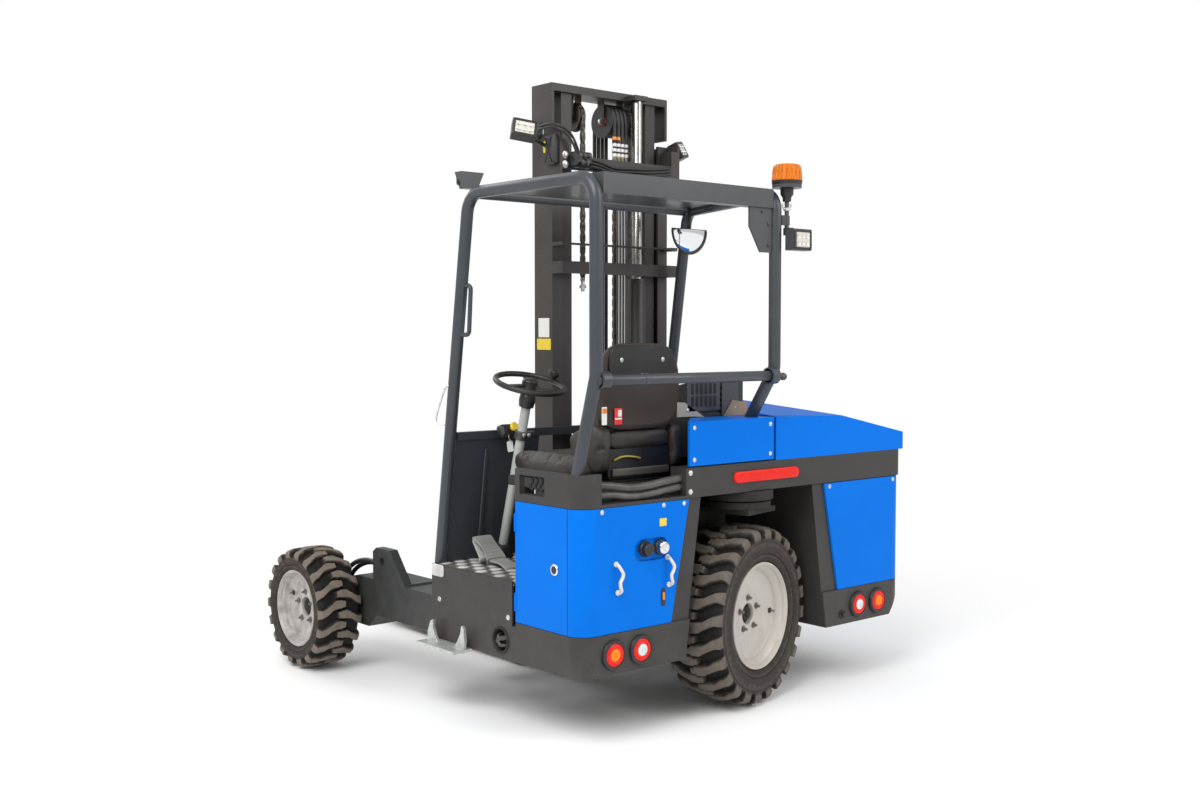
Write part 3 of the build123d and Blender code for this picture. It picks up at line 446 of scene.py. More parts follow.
red_lens = lens_finish("red_lens", (0.85, 0.018, 0.01), 0.1)
orange_lens = lens_finish("orange_lens", (0.95, 0.22, 0.005), 0.2)
clear_lens = lens_finish("clear_lens", (0.72, 0.78, 0.76), 0.1)
lamp_rim = [(0.0, 0.058), (0.006, 0.058), (0.0115, 0.055), (0.013, 0.05), (0.0125, 0.0445), (0.006, 0.0435)]
lamp_ring = [(0.006, 0.0436), (0.0105, 0.0432), (0.0125, 0.041), (0.0138, 0.037), (0.0132, 0.0345), (0.0146, 0.032),
             (0.014, 0.0295), (0.0152, 0.027), (0.0142, 0.0245), (0.011, 0.0238), (0.009, 0.0)]
lamp_centre = [(0.0105, 0.0237), (0.0135, 0.0232), (0.0158, 0.02), (0.0172, 0.0145), (0.0178, 0.008), (0.018, 0.0)]
for number, (x, centre_lens) in enumerate(((-802, orange_lens), (-665, clear_lens), (641, clear_lens), (777, orange_lens)), 1):
    spot = metres(x, -152, 345)
    add_piece(f"lamp_rubber_{number}", turned(lamp_rim, spot, to_rear, 64), black_plastic)
    ring = add_piece(f"tail_lens_{number}", turned(lamp_ring, spot, to_rear, 64), red_lens)
    add_piece(f"tail_lamp_centre_{number}", turned(lamp_centre, spot, to_rear), centre_lens)
    if number == 1:
        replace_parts(ring, "rear_lamps")
socket = [(0.0, 0.02), (0.004, 0.0195), (0.005, 0.016), (0.002, 0.0145), (0.002, 0.009), (0.012, 0.0085),
          (0.014, 0.006), (0.014, 0.0)]
add_piece("skirt_socket", turned(socket, metres(533, -152, 314), to_rear, 36), black_plastic)


def long_lens(centre, width, height, depth, ridges):
    """A bar with round ends: its section is a flattened half circle, and a cosine along it ridges the face."""
    across = np.linspace(0, 2 * math.pi, 96, endpoint=False)
    x = np.sign(np.cos(across)) * (width - height) / 2
    rings = []
    for grow, rise in ((1.0, 0.0), (1.0, 0.35), (0.94, 0.75), (0.8, 0.95), (0.45, 1.0), (0.04, 1.0)):
        reach = height / 2 * grow
        ring = np.stack([x * (1.0 if grow > 0.5 else 0.99) + reach * np.cos(across), np.full(96, -depth * rise),
                         reach * np.sin(across)], -1)
        ring[:, 1] += 0.0006 * np.cos(ring[:, 0] * ridges) * (rise > 0.7)
        rings.append(ring + np.asarray(centre))
    return np.concatenate(rings), [*grid_faces(len(rings), 96, closed_columns=True).tolist(), list(range(5 * 96, 6 * 96))]


add_piece("marker_lens", long_lens(metres(36, -152, 964), 0.39, 0.046, 0.012, 420.0), red_lens)


# Wheels: pneumatic off-road tyres on pressed steel rims. The rubber is worn brown-black with dry
# soil in it and painted shade darkens its grooves; the rims are cream-grey enamel, with a rolled lip,
# a dished disc and steel nuts, and the front rims are darker and mottled as painted shade.
def tread_rubber(name, pale, wall):
    """Tyre rubber from the mesh's own value of painted shade and wear: darkest in the grooves as painted shade,
    brown on the walls and dusty pale on the bars' tops, broken up by a noise, while a finer noise roughens the surface."""
    made, tree, shader, place = new_material(name, {"Roughness": 0.7, "Specular IOR Level": 0.28})
    groove_shade_and_wear = add_node(tree, "Attribute", {}, attribute_name="groove_shade_and_wear")["Fac"]
    soil = add_node(tree, "TexNoise", {"Vector": place, "Scale": 46.0, "Detail": 9.0, "Roughness": 0.72})["Fac"]
    uneven = add_node(tree, "Math", {0: soil, 1: 0.9, 2: groove_shade_and_wear}, operation="MULTIPLY_ADD")["Value"]
    lower = add_node(tree, "Math", {0: uneven, 1: 0.45}, operation="SUBTRACT")["Value"]
    tone = ramp(tree, lower, (0.0, (0.0095, 0.008, 0.007)), (1.0, pale), [(0.45, wall)])
    grit = add_node(tree, "TexNoise", {"Vector": place, "Scale": 170.0, "Detail": 6.0})["Fac"]
    tooth = add_node(tree, "Bump", {"Height": grit, "Strength": 0.5, "Distance": 0.003})["Normal"]
    feed(tree, shader, {"Base Color": tone, "Normal": tooth})
    return made


def step_between(value, low, high):
    """A smooth rise from 0 to 1: three squares less two cubes of the share of the way."""
    share = np.clip((value - low) / (high - low), 0.0, 1.0)
    return share * share * (3.0 - 2.0 * share)


def lugged_tyre(radius, half, bead, lugs, groove, wrap, stout, samples, rows):
    """A tyre as one skin: at every place across it a bar height, 0 in the groove and 1 on the bar, blends
    the carcass line with the line of the bars' tops. The bars of both sides lean back toward the middle,
    end there in a wider foot and are half a step apart. The grid is sheared so that its lines follow them."""
    tall = radius - bead
    depth = wrap * tall
    low = np.array([
        (0.0, groove), (0.3, groove + 0.001), (0.56, groove + 0.002), (0.76, groove + 0.13 * depth),
        (0.88, groove + 0.28 * depth), (0.93, groove + 0.42 * depth), (0.955, (wrap + 0.07) * tall),
        (0.985, (wrap + 0.12) * tall), (0.99, (wrap + 0.14) * tall), (0.968, (wrap + 0.17) * tall), (0.985, 0.66 * tall),
        (0.985, 0.75 * tall), (0.95, 0.77 * tall), (0.975, 0.81 * tall), (0.945, 0.87 * tall), (0.89, 0.95 * tall),
        (0.83, 0.985 * tall), (0.79, tall)])
    top = low.copy()
    top[:7] = [(0.0, 0.001), (0.3, 0.0015), (0.58, 0.003), (0.8, 0.008), (0.94, 0.35 * depth), (0.995, 0.65 * depth),
               (0.995, depth)]
    at = np.array([0.0, 0.16, 0.32, 0.46, 0.56, 0.63, 0.7, 0.75, 0.765, 0.78, 0.83, 0.88, 0.905, 0.925, 0.945, 0.965, 0.985, 1.0])
    size = np.unique(np.round(np.concatenate([np.linspace(0.0, 0.74, rows), at[7:]]), 4))
    q = np.concatenate([-size[:0:-1], size])
    size, rows = np.abs(q), len(q)
    lines = [np.stack([np.interp(size, at, line[:, 0]) * half * np.sign(q), radius - np.interp(size, at, line[:, 1])], -1)
             for line in (low, top)]
    across = np.clip(size / 0.7, 0, 1)
    lean = 0.4 * step_between(across, 0.12, 0.78) + 0.12 * np.clip(across - 0.78, 0, 1)
    thick = np.interp(across, [0.0, 0.22, 0.34, 0.7, 0.9, 1.0], [0.2, 0.205, 0.165, 0.185, 0.235, 0.245]) * stout
    turn = np.arange(lugs * samples) / samples
    height = np.zeros((rows, len(turn)))
    for side, shift in ((1, 0.0), (-1, 0.5)):
        off = np.abs((turn - shift + 0.5) % 1.0 - 0.5)[None]
        reach = step_between(q * side / 0.7, -0.17, -0.11)[:, None] * (1.0 - step_between(size, 0.69, 0.75))[:, None]
        foot = np.where(q[:, None] * side < 0, 0.17, thick[:, None])
        bar = (1.0 - step_between(off, foot - 0.035, foot + 0.045)) * reach
        height = np.maximum(height, bar)
    angle = (turn[None] + lean[:, None]) * 2 * math.pi / lugs
    wave = 1.0 - 0.05 * (0.5 + 0.5 * np.sin(angle * lugs * 3 + 9 * q[:, None]))
    mixed = lines[0][:, None] + (lines[1] - lines[0])[:, None] * (height * wave)[..., None]
    points = np.stack([mixed[..., 0], mixed[..., 1] * np.sin(angle), mixed[..., 1] * np.cos(angle)], -1)
    # The value paints shade low in the grooves, rises on the walls and is highest, as soil and wear, on the bars' tops;
    # the walls' moulded rings sit on it.
    groove_shade_and_wear = 0.02 + 0.64 * step_between(height, 0.6, 0.98) + 0.28 * step_between(height, 0.08, 0.5)
    rings = 0.38 + 0.2 * (np.sin(size * 90.0)[:, None] > 0.7)
    groove_shade_and_wear = np.where(size[:, None] > 0.68, np.maximum(groove_shade_and_wear * (size[:, None] < 0.74), rings), groove_shade_and_wear)
    inner = points[[0, -1]] * np.array([0.9, 0.985, 0.985])
    points = np.concatenate([inner[:1], points, inner[1:]])
    groove_shade_and_wear = np.concatenate([groove_shade_and_wear[:1] * 0, groove_shade_and_wear, groove_shade_and_wear[:1] * 0])
    return (points.reshape(-1, 3), grid_faces(rows + 2, len(turn), closed_columns=True)), groove_shade_and_wear.ravel()


def on_wheel(part, centre, turn):
    """Turns a part drawn with its axle along X about the upright axis and sets it at the wheel's middle."""
    points, faces = part
    points = np.asarray(points, float)
    cosine, sine = math.cos(math.radians(turn)), math.sin(math.radians(turn))
    x, y = points[:, 0] * cosine - points[:, 1] * sine, points[:, 0] * sine + points[:, 1] * cosine
    return np.stack([x, y, points[:, 2]], -1) + np.asarray(centre), faces


def crisp(profile, keep=0.0009):
    """Holds the corners of a turned profile: each becomes two points, a little before and after it."""
    profile = np.asarray(profile, float)
    held = [profile[0]]
    for before, corner, after in zip(profile[:-2], profile[1:-1], profile[2:]):
        for end in (before, after):
            way = end - corner
            held.append(corner + way * min(0.3, keep / max(np.linalg.norm(way), 1e-9)))
    return np.array(held + [profile[-1]])


enamel = paint("rim_enamel", (0.53, 0.495, 0.45), 0.4, mottle=0.07, peel=0.04, coat=0.15, chips=0.35,
               chip_colour=(0.2, 0.17, 0.14), dust=0.35, dust_top=1.2)
# The front rims take a darker, strongly mottled copy of the enamel: painted shade on their dish and lip.
front_enamel_painted_shade = paint("front_rim_enamel", (0.42, 0.395, 0.37), 0.36, mottle=0.28, cloud=22.0, chips=0.3,
                     chip_colour=(0.14, 0.12, 0.1))
dark_steel = paint("dark_steel", (0.1, 0.095, 0.09), 0.45, mottle=0.2, metal=0.6, cloud=30.0)
nut_steel = paint("nut_steel", (0.2, 0.185, 0.165), 0.42, mottle=0.2, metal=0.5, cloud=50.0)
stud = turned([(0.0, 0.0055), (0.015, 0.0055), (0.017, 0.003), (0.017, 0.0)], (0.004, 0, 0), to_right, 16)
# Columns: name, body, centre, turn, finish, tread's pale tone, then the tyre's radius, half width, bead, bars,
# groove, wrap and stoutness, the disc's drop, where its edge and hub lie along the axle, and the valve's place.
front = (front_enamel_painted_shade, (0.2, 0.166, 0.138), 0.278, 0.108, 0.176, 18, 0.024, 0.4, 1.04, 0.026, 0.049, 0.034, (-0.112, 0.05))
wheels = (
    ("front_left", "front_wheel_left_body", metres(-1056, 1684, 278), 180.0, *front),
    ("front_right", "front_wheel_right_body", metres(1056, 1684, 278), 0.0, *front),
    ("rear", "rear_wheel_body", metres(0, -22, 375), -77.5, enamel, (0.14, 0.118, 0.1),
     0.375, 0.132, 0.222, 24, 0.03, 0.3, 1.22, 0.04, 0.068, 0.05, (0.163, -0.011)),
)
for (name, body, centre, turn, finish, pale, radius, half, bead, lugs, groove, wrap, stout, drop, edge_at, hub_at,
     (valve_y, valve_z)) in wheels:
    lip, disc = half - 0.014, bead - drop

    def add_part(suffix, part, material):
        """A part of this wheel, set on its axle."""
        return add_piece(f"{name}_{suffix}", on_wheel(part, centre, turn), material, body)

    profile = [
        (-lip, bead - 0.004), (-lip - 0.001, bead), (-lip + 0.006, bead + 0.001), (-lip + 0.012, bead - 0.008),
        (-half + 0.045, bead - 0.014), (-0.02, bead - 0.024), (0.02, bead - 0.024), (half - 0.045, bead - 0.014),
        (lip - 0.012, bead - 0.006), (lip - 0.006, bead + 0.001), (lip + 0.001, bead + 0.0005), (lip + 0.004, bead - 0.003),
        (lip + 0.003, bead - 0.0075), (lip - 0.002, bead - 0.0085), (lip - 0.006, bead - 0.013), (lip - 0.018, bead - 0.0145),
        (lip - 0.02, bead - 0.0185), (edge_at + 0.012, disc + 0.006), (edge_at + 0.0035, disc + 0.003),
        (edge_at, disc - 0.003), (edge_at - 0.001, disc - 0.012), (hub_at + 0.004, 0.098), (hub_at + 0.0055, 0.092),
        (hub_at + 0.0055, 0.0475), (hub_at + 0.0035, 0.044), (hub_at - 0.012, 0.0435), (hub_at - 0.014, 0.0),
        (hub_at - 0.02, 0.0), (hub_at - 0.02, disc - 0.03), (edge_at - 0.012, disc - 0.002), (-lip + 0.03, disc + 0.004),
        (-lip + 0.012, bead - 0.016), (-lip - 0.001, bead - 0.009), (-lip, bead - 0.004),
    ]
    kind, _, side = name.partition("_")
    shell = add_part("wheel_disc", turned(crisp(profile), (0, 0, 0), to_right, 96), finish)
    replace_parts(shell, f"{kind}_rim_{side}".strip("_"))
    angle = np.arange(5) * 2 * math.pi / 5 + 0.35
    places = np.stack([np.full(5, hub_at + 0.0055), 0.069 * np.cos(angle), 0.069 * np.sin(angle)], -1)
    add_part("wheel_nuts", joined([repeated(hex_bolt(to_right, 0.0105), places), repeated(stud, places)]), nut_steel)
    # The axle ends are near black as painted shade of the hubs' holes.
    axle_end = [(-0.0135, 0.0434), (-0.0125, 0.043), (-0.004, 0.03), (0.0, 0.0285), (0.0015, 0.016), (0.006, 0.013), (0.007, 0.0)]
    axle_end = [(hub_at + x, size) for x, size in axle_end]
    add_part("axle_end", turned(axle_end, (0, 0, 0), to_right, 40), near_black_and_shade)
    slope = (edge_at - hub_at - 0.005) / (disc - 0.11)
    out_at = hub_at + 0.004 + slope * max(0.0, math.hypot(valve_y, valve_z) - 0.098)
    # The valve hole is a black disc on the rim: painted shade of the hole.
    hole = [(-0.002, 0.0), (0.0005, 0.0), (0.0015, 0.0085), (0.002, 0.011), (-0.002, 0.0125)]
    add_part("valve_hole", turned(hole, (out_at + 0.001, valve_y, valve_z), to_right, 28), black_plastic)
    stem = [(out_at + x, valve_y + y, valve_z + z) for x, y, z in ((0, 0, 0), (0.012, 0.001, 0), (0.022, 0, -0.002))]
    add_part("valve", tube_along(stem, 0.0042, 12), nut_steel)
    skin, groove_shade_and_wear = lugged_tyre(radius, half, bead, lugs, groove, wrap, stout, 30, 30)
    tyre = add_part("tyre", skin, tread_rubber(f"{name}_rubber", pale, (0.042, 0.034, 0.028)))
    tyre.data.attributes.new("groove_shade_and_wear", "FLOAT", "POINT").data.foreach_set("value", groove_shade_and_wear.astype(np.float32))
    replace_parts(tyre, f"{kind}_tyre_{side}".strip("_"))


# Guard over the driver: bent steel tube and folded roof plate in blue-black powder coat,
# with hexagon bolts, a clamped rear rail, the beacon and the lamps.
guard_coat = paint("guard_coat", (0.04, 0.045, 0.055), 0.36, coat=0.12, chips=0.1, specular=0.45)
dress(guard_coat, "guard_left", "guard_right", "bulkhead")
dress(paint("roof_coat", (0.058, 0.06, 0.063), 0.4, coat=0.1, chips=0.1, specular=0.4), "roof")
wide_sleeve = [(-0.022, 0.028), (-0.02, 0.034), (0.02, 0.034), (0.022, 0.028)]
slim_sleeve = [(-0.012, 0.02), (-0.01, 0.0235), (0.01, 0.0235), (0.012, 0.02)]
sleeves = [turned(profile, metres(x, -212, 1375), to_right, 40)
           for x, profile in ((-905, wide_sleeve), (-700, slim_sleeve), (-2, wide_sleeve))]
add_piece("rail_sleeves", joined(sleeves), guard_coat)
set_heads("rail_bolts", hex_bolt(to_rear, 0.009), ((-908, -229, 1375), (-4, -229, 1375)))
rail_tube = tube_along([metres(x, -212, 1375) for x in (-934, -450, 28)], 0.0205, 32)
add_piece("rear_rail_tube", rail_tube, guard_coat)
rail_end = tube_along(smooth_path(((26, -212, 1375), (50, -214, 1375), (62, -218, 1368)), 12), 0.009, 14)
rail_knob = [(0.0, 0.0), (0.001, 0.012), (0.008, 0.016), (0.02, 0.014), (0.026, 0.0)]
add_piece("rail_end_knob", joined([rail_end, turned(rail_knob, metres(56, -212, 1372), (1, 0, -0.2), 28)]), dark_steel)
set_heads("gusset_bolts", hex_bolt(to_rear, 0.006), ((-60, -210, 2034), (-24, -210, 1986), (-24, -210, 1900)), dark_steel)


# Hook of bent wire on the front of the left post, where the driver hangs a line.
# It drops along the post and turns up again at its end.
line_hook = ((-946, 700, 1330), (-962, 716, 1322), (-972, 752, 1240), (-974, 770, 1190), (-968, 762, 1172),
             (-952, 742, 1168), (-940, 724, 1176))
add_piece("line_hook", tube_along(smooth_path(line_hook), 0.0035, 10), zinc_screw)


# Beacon: an amber moulded dome with upright ribs over a black base, on a short tube with a wing nut.
# It replaces the solid's plain dome.
def ribbed_dome(centre, profile, ribs, depth):
    """A lathe form whose radius is lessened by a narrow cosine groove, many times round its wall."""
    profile = np.asarray(profile, float)
    angle = np.linspace(0, 2 * math.pi, ribs * 8, endpoint=False)
    groove = 1.0 - depth * (0.5 + 0.5 * np.cos(ribs * angle))[None] ** 6 * profile[:, 2:3]
    reach = profile[:, 1:2] * groove
    points = np.stack([reach * np.cos(angle), reach * np.sin(angle), np.repeat(profile[:, :1], len(angle), 1)], -1)
    return (points + np.asarray(centre)).reshape(-1, 3), grid_faces(len(profile), len(angle), closed_columns=True)


dome_profile = [(0.0545, 0.0, 0), (0.0545, 0.0615, 0), (0.062, 0.0625, 0), (0.066, 0.061, 1), (0.09, 0.06, 1),
                (0.108, 0.0575, 1), (0.116, 0.054, 0), (0.121, 0.046, 0), (0.1235, 0.03, 0), (0.1238, 0.0, 0)]
base = [(0.024, 0.0255), (0.0255, 0.034), (0.034, 0.056), (0.04, 0.0605), (0.052, 0.0625), (0.0555, 0.0625), (0.0555, 0.055)]
neck = [(-0.03, 0.0095), (-0.028, 0.017), (-0.012, 0.018), (0.0, 0.0265), (0.024, 0.027), (0.03, 0.02)]
beacon_at = metres(82, -213, 2110)
amber = lens_finish("amber_dome", (0.7, 0.17, 0.0), 0.02)
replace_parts(add_piece("beacon_dome", ribbed_dome(beacon_at, dome_profile, 18, 0.07), amber), "beacon")
add_piece("beacon_base", joined([turned(base, beacon_at, upward, 64), turned(neck, beacon_at, upward, 40)]), black_plastic)
wing = ((10, 2050), (22, 2056), (27, 2068), (20, 2072))
wings = [tube_along(smooth_path([(82 + s * dx, -213, z) for dx, z in wing], 14), 0.0035, 10) for s in (-1, 1)]
nut = turned([(0.0, 0.0095), (0.0, 0.015), (0.012, 0.015), (0.014, 0.0095)], metres(82, -213, 2044), upward, 6)
add_piece("beacon_wing_nut", joined(wings + [nut]), zinc_screw)


# Work lamps: cast black boxes with cooling fins behind, a pale lens over a grid of bright cups in front.
# The same function makes the two on the guard and the two on the mast.
def lamp_front(name, centre, out, up, width, height, body="chassis"):
    """A rounded frame, a lens set back in it and a grid of small cups, all square to the way it looks."""
    centre = np.asarray(centre)
    out = np.asarray(out, float) / np.linalg.norm(out)
    across = np.cross(np.asarray(up, float), out)
    across /= np.linalg.norm(across)
    up = np.cross(out, across)
    angle = np.linspace(0, 2 * math.pi, 64, endpoint=False) + math.pi / 128
    corner, rim = 0.011, 0.024
    x = np.sign(np.cos(angle)) * (width / 2 - corner)
    y = np.sign(np.sin(angle)) * (height / 2 - corner)
    rings = []
    for grow, rise in ((1.0, -0.012), (1.0, 0.002), (0.6, 0.0045), (-0.1, 0.0045), (-0.25, 0.002), (-0.25, -0.004)):
        ring = np.stack([x + corner * grow * np.cos(angle), y + corner * grow * np.sin(angle)], -1)
        rings.append(centre + ring[:, :1] * across + ring[:, 1:] * up + rise * out)
    add_piece(f"{name}_frame", (np.concatenate(rings), grid_faces(len(rings), 64, closed_columns=True)), black_plastic, body)
    pane = round_plate(centre + 0.0005 * out, across, up, width - rim, height - rim, 0.006, 0.002)
    add_piece(f"{name}_lens", pane, lamp_glass, body)
    cup = turned([(0.0, 0.0), (0.0008, 0.0035), (0.0026, 0.0085), (0.0032, 0.0092), (0.0, 0.0098)], (0, 0, 0), out, 20)
    grid = [centre + 0.0022 * out + across * (width - rim) * (i - 1) / 3.2 + up * (height - rim) * (j - 0.5) / 2.2
            for i in range(3) for j in range(2)]
    add_piece(f"{name}_cups", repeated(cup, grid), chrome, body)


lamp_glass = lens_finish("lamp_glass", (0.66, 0.62, 0.52), 0.1)
lamp_front("rear_work_lamp", metres(104, -280.2, 1925), to_rear, upward, 0.108, 0.086)
fins = [plate(104 + 13 * k, -234, 1925, 0.016, 0.07, 0.003, 0.003, (0, 1, 0)) for k in range(-3, 4)]
add_piece("rear_work_lamp_fins", joined(fins), black_plastic)
lamp_front("front_work_lamp", metres(-918, 629.3, 2169), (0, 1, 0), upward, 0.088, 0.05)


# Mirror: half of a blown convex glass in a black moulded rim, hung under the roof on its rod.
# Its face bulges to the rear by the root of one less a share of the square of the way out.
def closed_shell(front_points, back_points, rows, columns):
    """Two like grids of points made one closed body: their outer edges are joined by a skirt."""
    front_points, back_points = front_points.reshape(-1, 3), back_points.reshape(-1, 3)
    cells = grid_faces(rows, columns)
    edge = np.concatenate([np.arange(columns), np.arange(1, rows) * columns + columns - 1,
                           (rows - 1) * columns + np.arange(columns - 2, -1, -1), np.arange(rows - 2, 0, -1) * columns])
    after = np.roll(edge, -1)
    skirt = np.stack([edge, after, after + len(front_points), edge + len(front_points)], -1)
    return np.concatenate([front_points, back_points]), np.concatenate([cells, cells + len(front_points), skirt])


mirror_glass = paint("mirror_glass", (0.86, 0.88, 0.9), 0.04, mottle=0.02, peel=0.0, metal=1.0)
u, v = np.meshgrid(np.linspace(math.pi, 2 * math.pi, 49), np.linspace(0, 1, 17), indexing="ij")
bulge = 0.055 * np.sqrt(np.maximum(0.0, 1 - 0.86 * v**2)) - 0.02
glass = np.stack([0.103 * v * np.cos(u), -bulge, 0.103 * v * np.sin(u)], -1) + np.asarray(metres(190, 466, 2013))
back = glass.copy()
back[..., 1] = metres(0, 469, 0)[1]
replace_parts(add_piece("mirror_dome", closed_shell(glass, back, 49, 17), mirror_glass), "mirror")
rim_turn = np.linspace(math.pi, 2 * math.pi, 40)
rim_path = np.stack([0.106 * np.cos(rim_turn), np.full(40, 0.0), 0.106 * np.sin(rim_turn)], -1) + np.asarray(metres(190, 462, 2013))
mirror_rim = tube_along(np.concatenate([rim_path, rim_path[:1]]), 0.0055, 12)
mirror_rod = tube_along([metres(190, 464, z) for z in (2012, 2060, 2116)], 0.008, 20)
add_piece("mirror_rim", joined([mirror_rim, mirror_rod]), black_plastic)


# Driver's floor: folded plate with round, raised and ringed grip pads pressed through a dark mat,
# and a pale grip block on the sill.
dress(paint("floor_coat", (0.09, 0.08, 0.07), 0.6, mottle=0.3, peel=0.2, chips=1.0, chip_colour=(0.4, 0.38, 0.34),
            dust=0.5, dust_top=1.4), "floor_plate")
grip_pale = paint("grip_pads", (0.6, 0.585, 0.56), 0.6, mottle=0.25, peel=0.3, peel_size=500.0, chips=0.8,
                  chip_colour=(0.12, 0.11, 0.1))
grip_ring = paint("grip_rings", (0.34, 0.33, 0.31), 0.5, mottle=0.2)
pad_places = [(x + 36 * (j % 2), 270 + 64 * j, 580) for x in range(-922, -489, 72) for j in range(9) if x + 36 * (j % 2) < -490]
pad_top = [(0.0, 0.0215), (0.002, 0.021), (0.0028, 0.019), (0.0026, 0.0)]
pad_ring = [(0.0, 0.0285), (0.0014, 0.028), (0.0018, 0.0265), (0.0014, 0.0245), (0.0, 0.024)]
set_heads("grip_pads", turned(pad_top, (0, 0, 0), upward, 24), pad_places, grip_pale)
set_heads("grip_rings", turned(pad_ring, (0, 0, 0), upward, 24), pad_places, grip_ring)
add_piece("sill_grip", plate(-962, 780, 556, 0.085, 0.05, 0.012, 0.006, to_rear), grip_pale)


# Pedal: one cast treadle that rocks on a bracket, with ribs across both of its pads, and a second
# plain treadle behind it. The casting is bare and grey with worn ribs.
def treadle(x0, x1, y0, z0, y1, z1, arch, ribs):
    """A plate whose height is the straight line from heel to toe plus an arch of a sine, with ribs of a cosine
    along it; the underside is the same line lowered by its thickness."""
    u, v = np.meshgrid(np.linspace(0, 1, ribs * 8 + 1), np.linspace(0, 1, 9), indexing="ij")
    x = (x0 + x1) / 2 + (x1 - x0) * (v - 0.5) * (1.0 - 0.16 * np.sin(math.pi * u) ** 2)
    y = y0 + (y1 - y0) * u
    z = z0 + (z1 - z0) * u + arch * np.sin(math.pi * u)
    ridge = 2.6 * np.maximum(0, np.cos(2 * math.pi * ribs * u)) * (np.abs(v - 0.5) < 0.45)
    top, low = (np.stack(metres(*place), -1) for place in ((x, y, z + ridge), (x, y + 3, z - 9)))
    return closed_shell(top, low, *u.shape)


cast_grey = paint("cast_grey", (0.36, 0.36, 0.34), 0.5, mottle=0.18, peel=0.2, peel_size=600.0, metal=0.2, chips=0.8,
                  chip_colour=(0.6, 0.6, 0.58))
dress(paint("column_coat", (0.46, 0.48, 0.45), 0.4, mottle=0.06, peel=0.05, chips=0.2), "column_and_pedals")
add_piece("treadle_left", treadle(-842, -748, 592, 612, 700, 692, 10, 9), cast_grey)
add_piece("treadle_heel", treadle(-834, -756, 470, 588, 588, 610, 6, 8), cast_grey)
add_piece("treadle_right", treadle(-560, -476, 638, 606, 704, 686, 6, 7), cast_grey)
pedal_pins = [tube_along([metres(x0, y, 604), metres(x1, y, 604)], size, 16)
              for x0, x1, y, size in ((-850, -740, 640, 0.007), (-568, -468, 642, 0.006))]
add_piece("pedal_pins", joined(pedal_pins), zinc_screw)


# Steering column: a leaning coated tube clamped half-way by a two-bolt collar, with a rubber boot at
# the floor and a black cowl under the wheel; the wheel is moulded black with a spinner knob.
dress(paint("wheel_black", (0.02, 0.019, 0.018), 0.4, peel=0.25, peel_size=900.0, mottle=0.15), "steering_wheel")
column_way = np.array([0.0, -217.0, 786.0]) / math.hypot(217.0, 786.0)
column_top = np.array([-650.0, 553.0, 1336.0])
clamp_at = column_top - column_way * 226
knob_at = column_top + np.array([141.0, 24.0, 0.0]) + column_way * 12
cowl = [(-0.105, 0.0195), (-0.1, 0.031), (-0.075, 0.035), (-0.05, 0.033), (-0.044, 0.029), (-0.042, 0.0195)]
boot = [(-0.782, 0.02), (-0.782, 0.05)] + [(-0.782 + 0.004 * k, 0.052 - 0.0016 * k + 0.004 * (k % 2))
                                           for k in range(1, 15)] + [(-0.72, 0.0198)]
collar = [(-0.018, 0.0198), (-0.018, 0.027), (-0.015, 0.03), (0.015, 0.03), (0.018, 0.027), (0.018, 0.0198)]
cap = [(0.004, 0.031), (0.009, 0.033), (0.016, 0.031), (0.021, 0.024), (0.023, 0.0)]
knob = [(-0.004, 0.0), (-0.004, 0.012), (0.008, 0.011), (0.012, 0.016), (0.02, 0.023), (0.032, 0.025), (0.043, 0.021),
        (0.048, 0.011), (0.049, 0.0)]
cowl, boot, collar, cap, knob = (
    turned(profile, metres(*place), column_way, steps) for profile, place, steps in (
        (cowl, column_top, 40), (boot, column_top, 48), (collar, clamp_at, 40), (cap, column_top, 48), (knob, knob_at, 36)))
add_piece("column_cowl_and_boot", joined([cowl, boot]), black_plastic)
ear = plate(clamp_at[0] + 36, clamp_at[1], clamp_at[2], 0.046, 0.036, 0.006, 0.012, to_right, column_way)
add_piece("column_clamp", joined([collar, ear]), dark_steel)
set_heads("clamp_bolts", hex_bolt(to_rear, 0.007), [clamp_at + (dx, -34, 0) for dx in (-12, 14)])
add_piece("wheel_hub_cap", cap, black_plastic, "steering_wheel_body")
add_piece("spinner_knob", knob, black_plastic, "steering_wheel_body")


# Switch cluster on the beam before the driver: a black housing with a yellow stop cap, and a key with
# a blank white tag. A blank grey plate and an upright rib are on the bulkhead below it.
tag_white = paint("tag_white", (0.8, 0.8, 0.77), 0.5, mottle=0.05)
add_piece("switch_housing", plate(-676, 692, 1128, 0.085, 0.055, 0.014, 0.035, up=(0, 0.25, 1)), black_plastic)
stop_cap = [(0.0, 0.012), (0.01, 0.012), (0.014, 0.019), (0.022, 0.02), (0.027, 0.016), (0.028, 0.0)]
add_piece("yellow_cap", turned(stop_cap, metres(-662, 662, 1144), (0, -0.9, 0.45), 32), yellow_plate)
add_piece("key_tag", plate(-680, 652, 1068, 0.03, 0.046, 0.008, 0.002, (1, 0, 0.1), (0, 0.2, 1)), tag_white)
key_ring = smooth_path(((-684, 656, 1120), (-690, 648, 1108), (-682, 648, 1094), (-680, 650, 1088)), 16)
add_piece("key_ring", tube_along(key_ring, 0.0016, 8), zinc_screw)
add_piece("blank_plate", plate(-826, 738, 1015, 0.104, 0.146, 0.004, 0.001, up=(0, -0.142, 1)),
          paint("plate_grey", (0.52, 0.52, 0.5), 0.45, mottle=0.12, cloud=30.0))
add_piece("bulkhead_rib", plate(-760, 742, 850, 0.016, 0.42, 0.004, 0.006, up=(0, -0.142, 1)), guard_coat)


# Seat: foam cushion and back in brown-black vinyl with raised side bolsters and sewn channels,
# on a black bellows suspension with a steel slide; the back has a moulded shell.
def power(value, exponent):
    """The signed power that makes a circle's cosine or sine squarer."""
    return np.sign(value) * np.abs(value) ** exponent


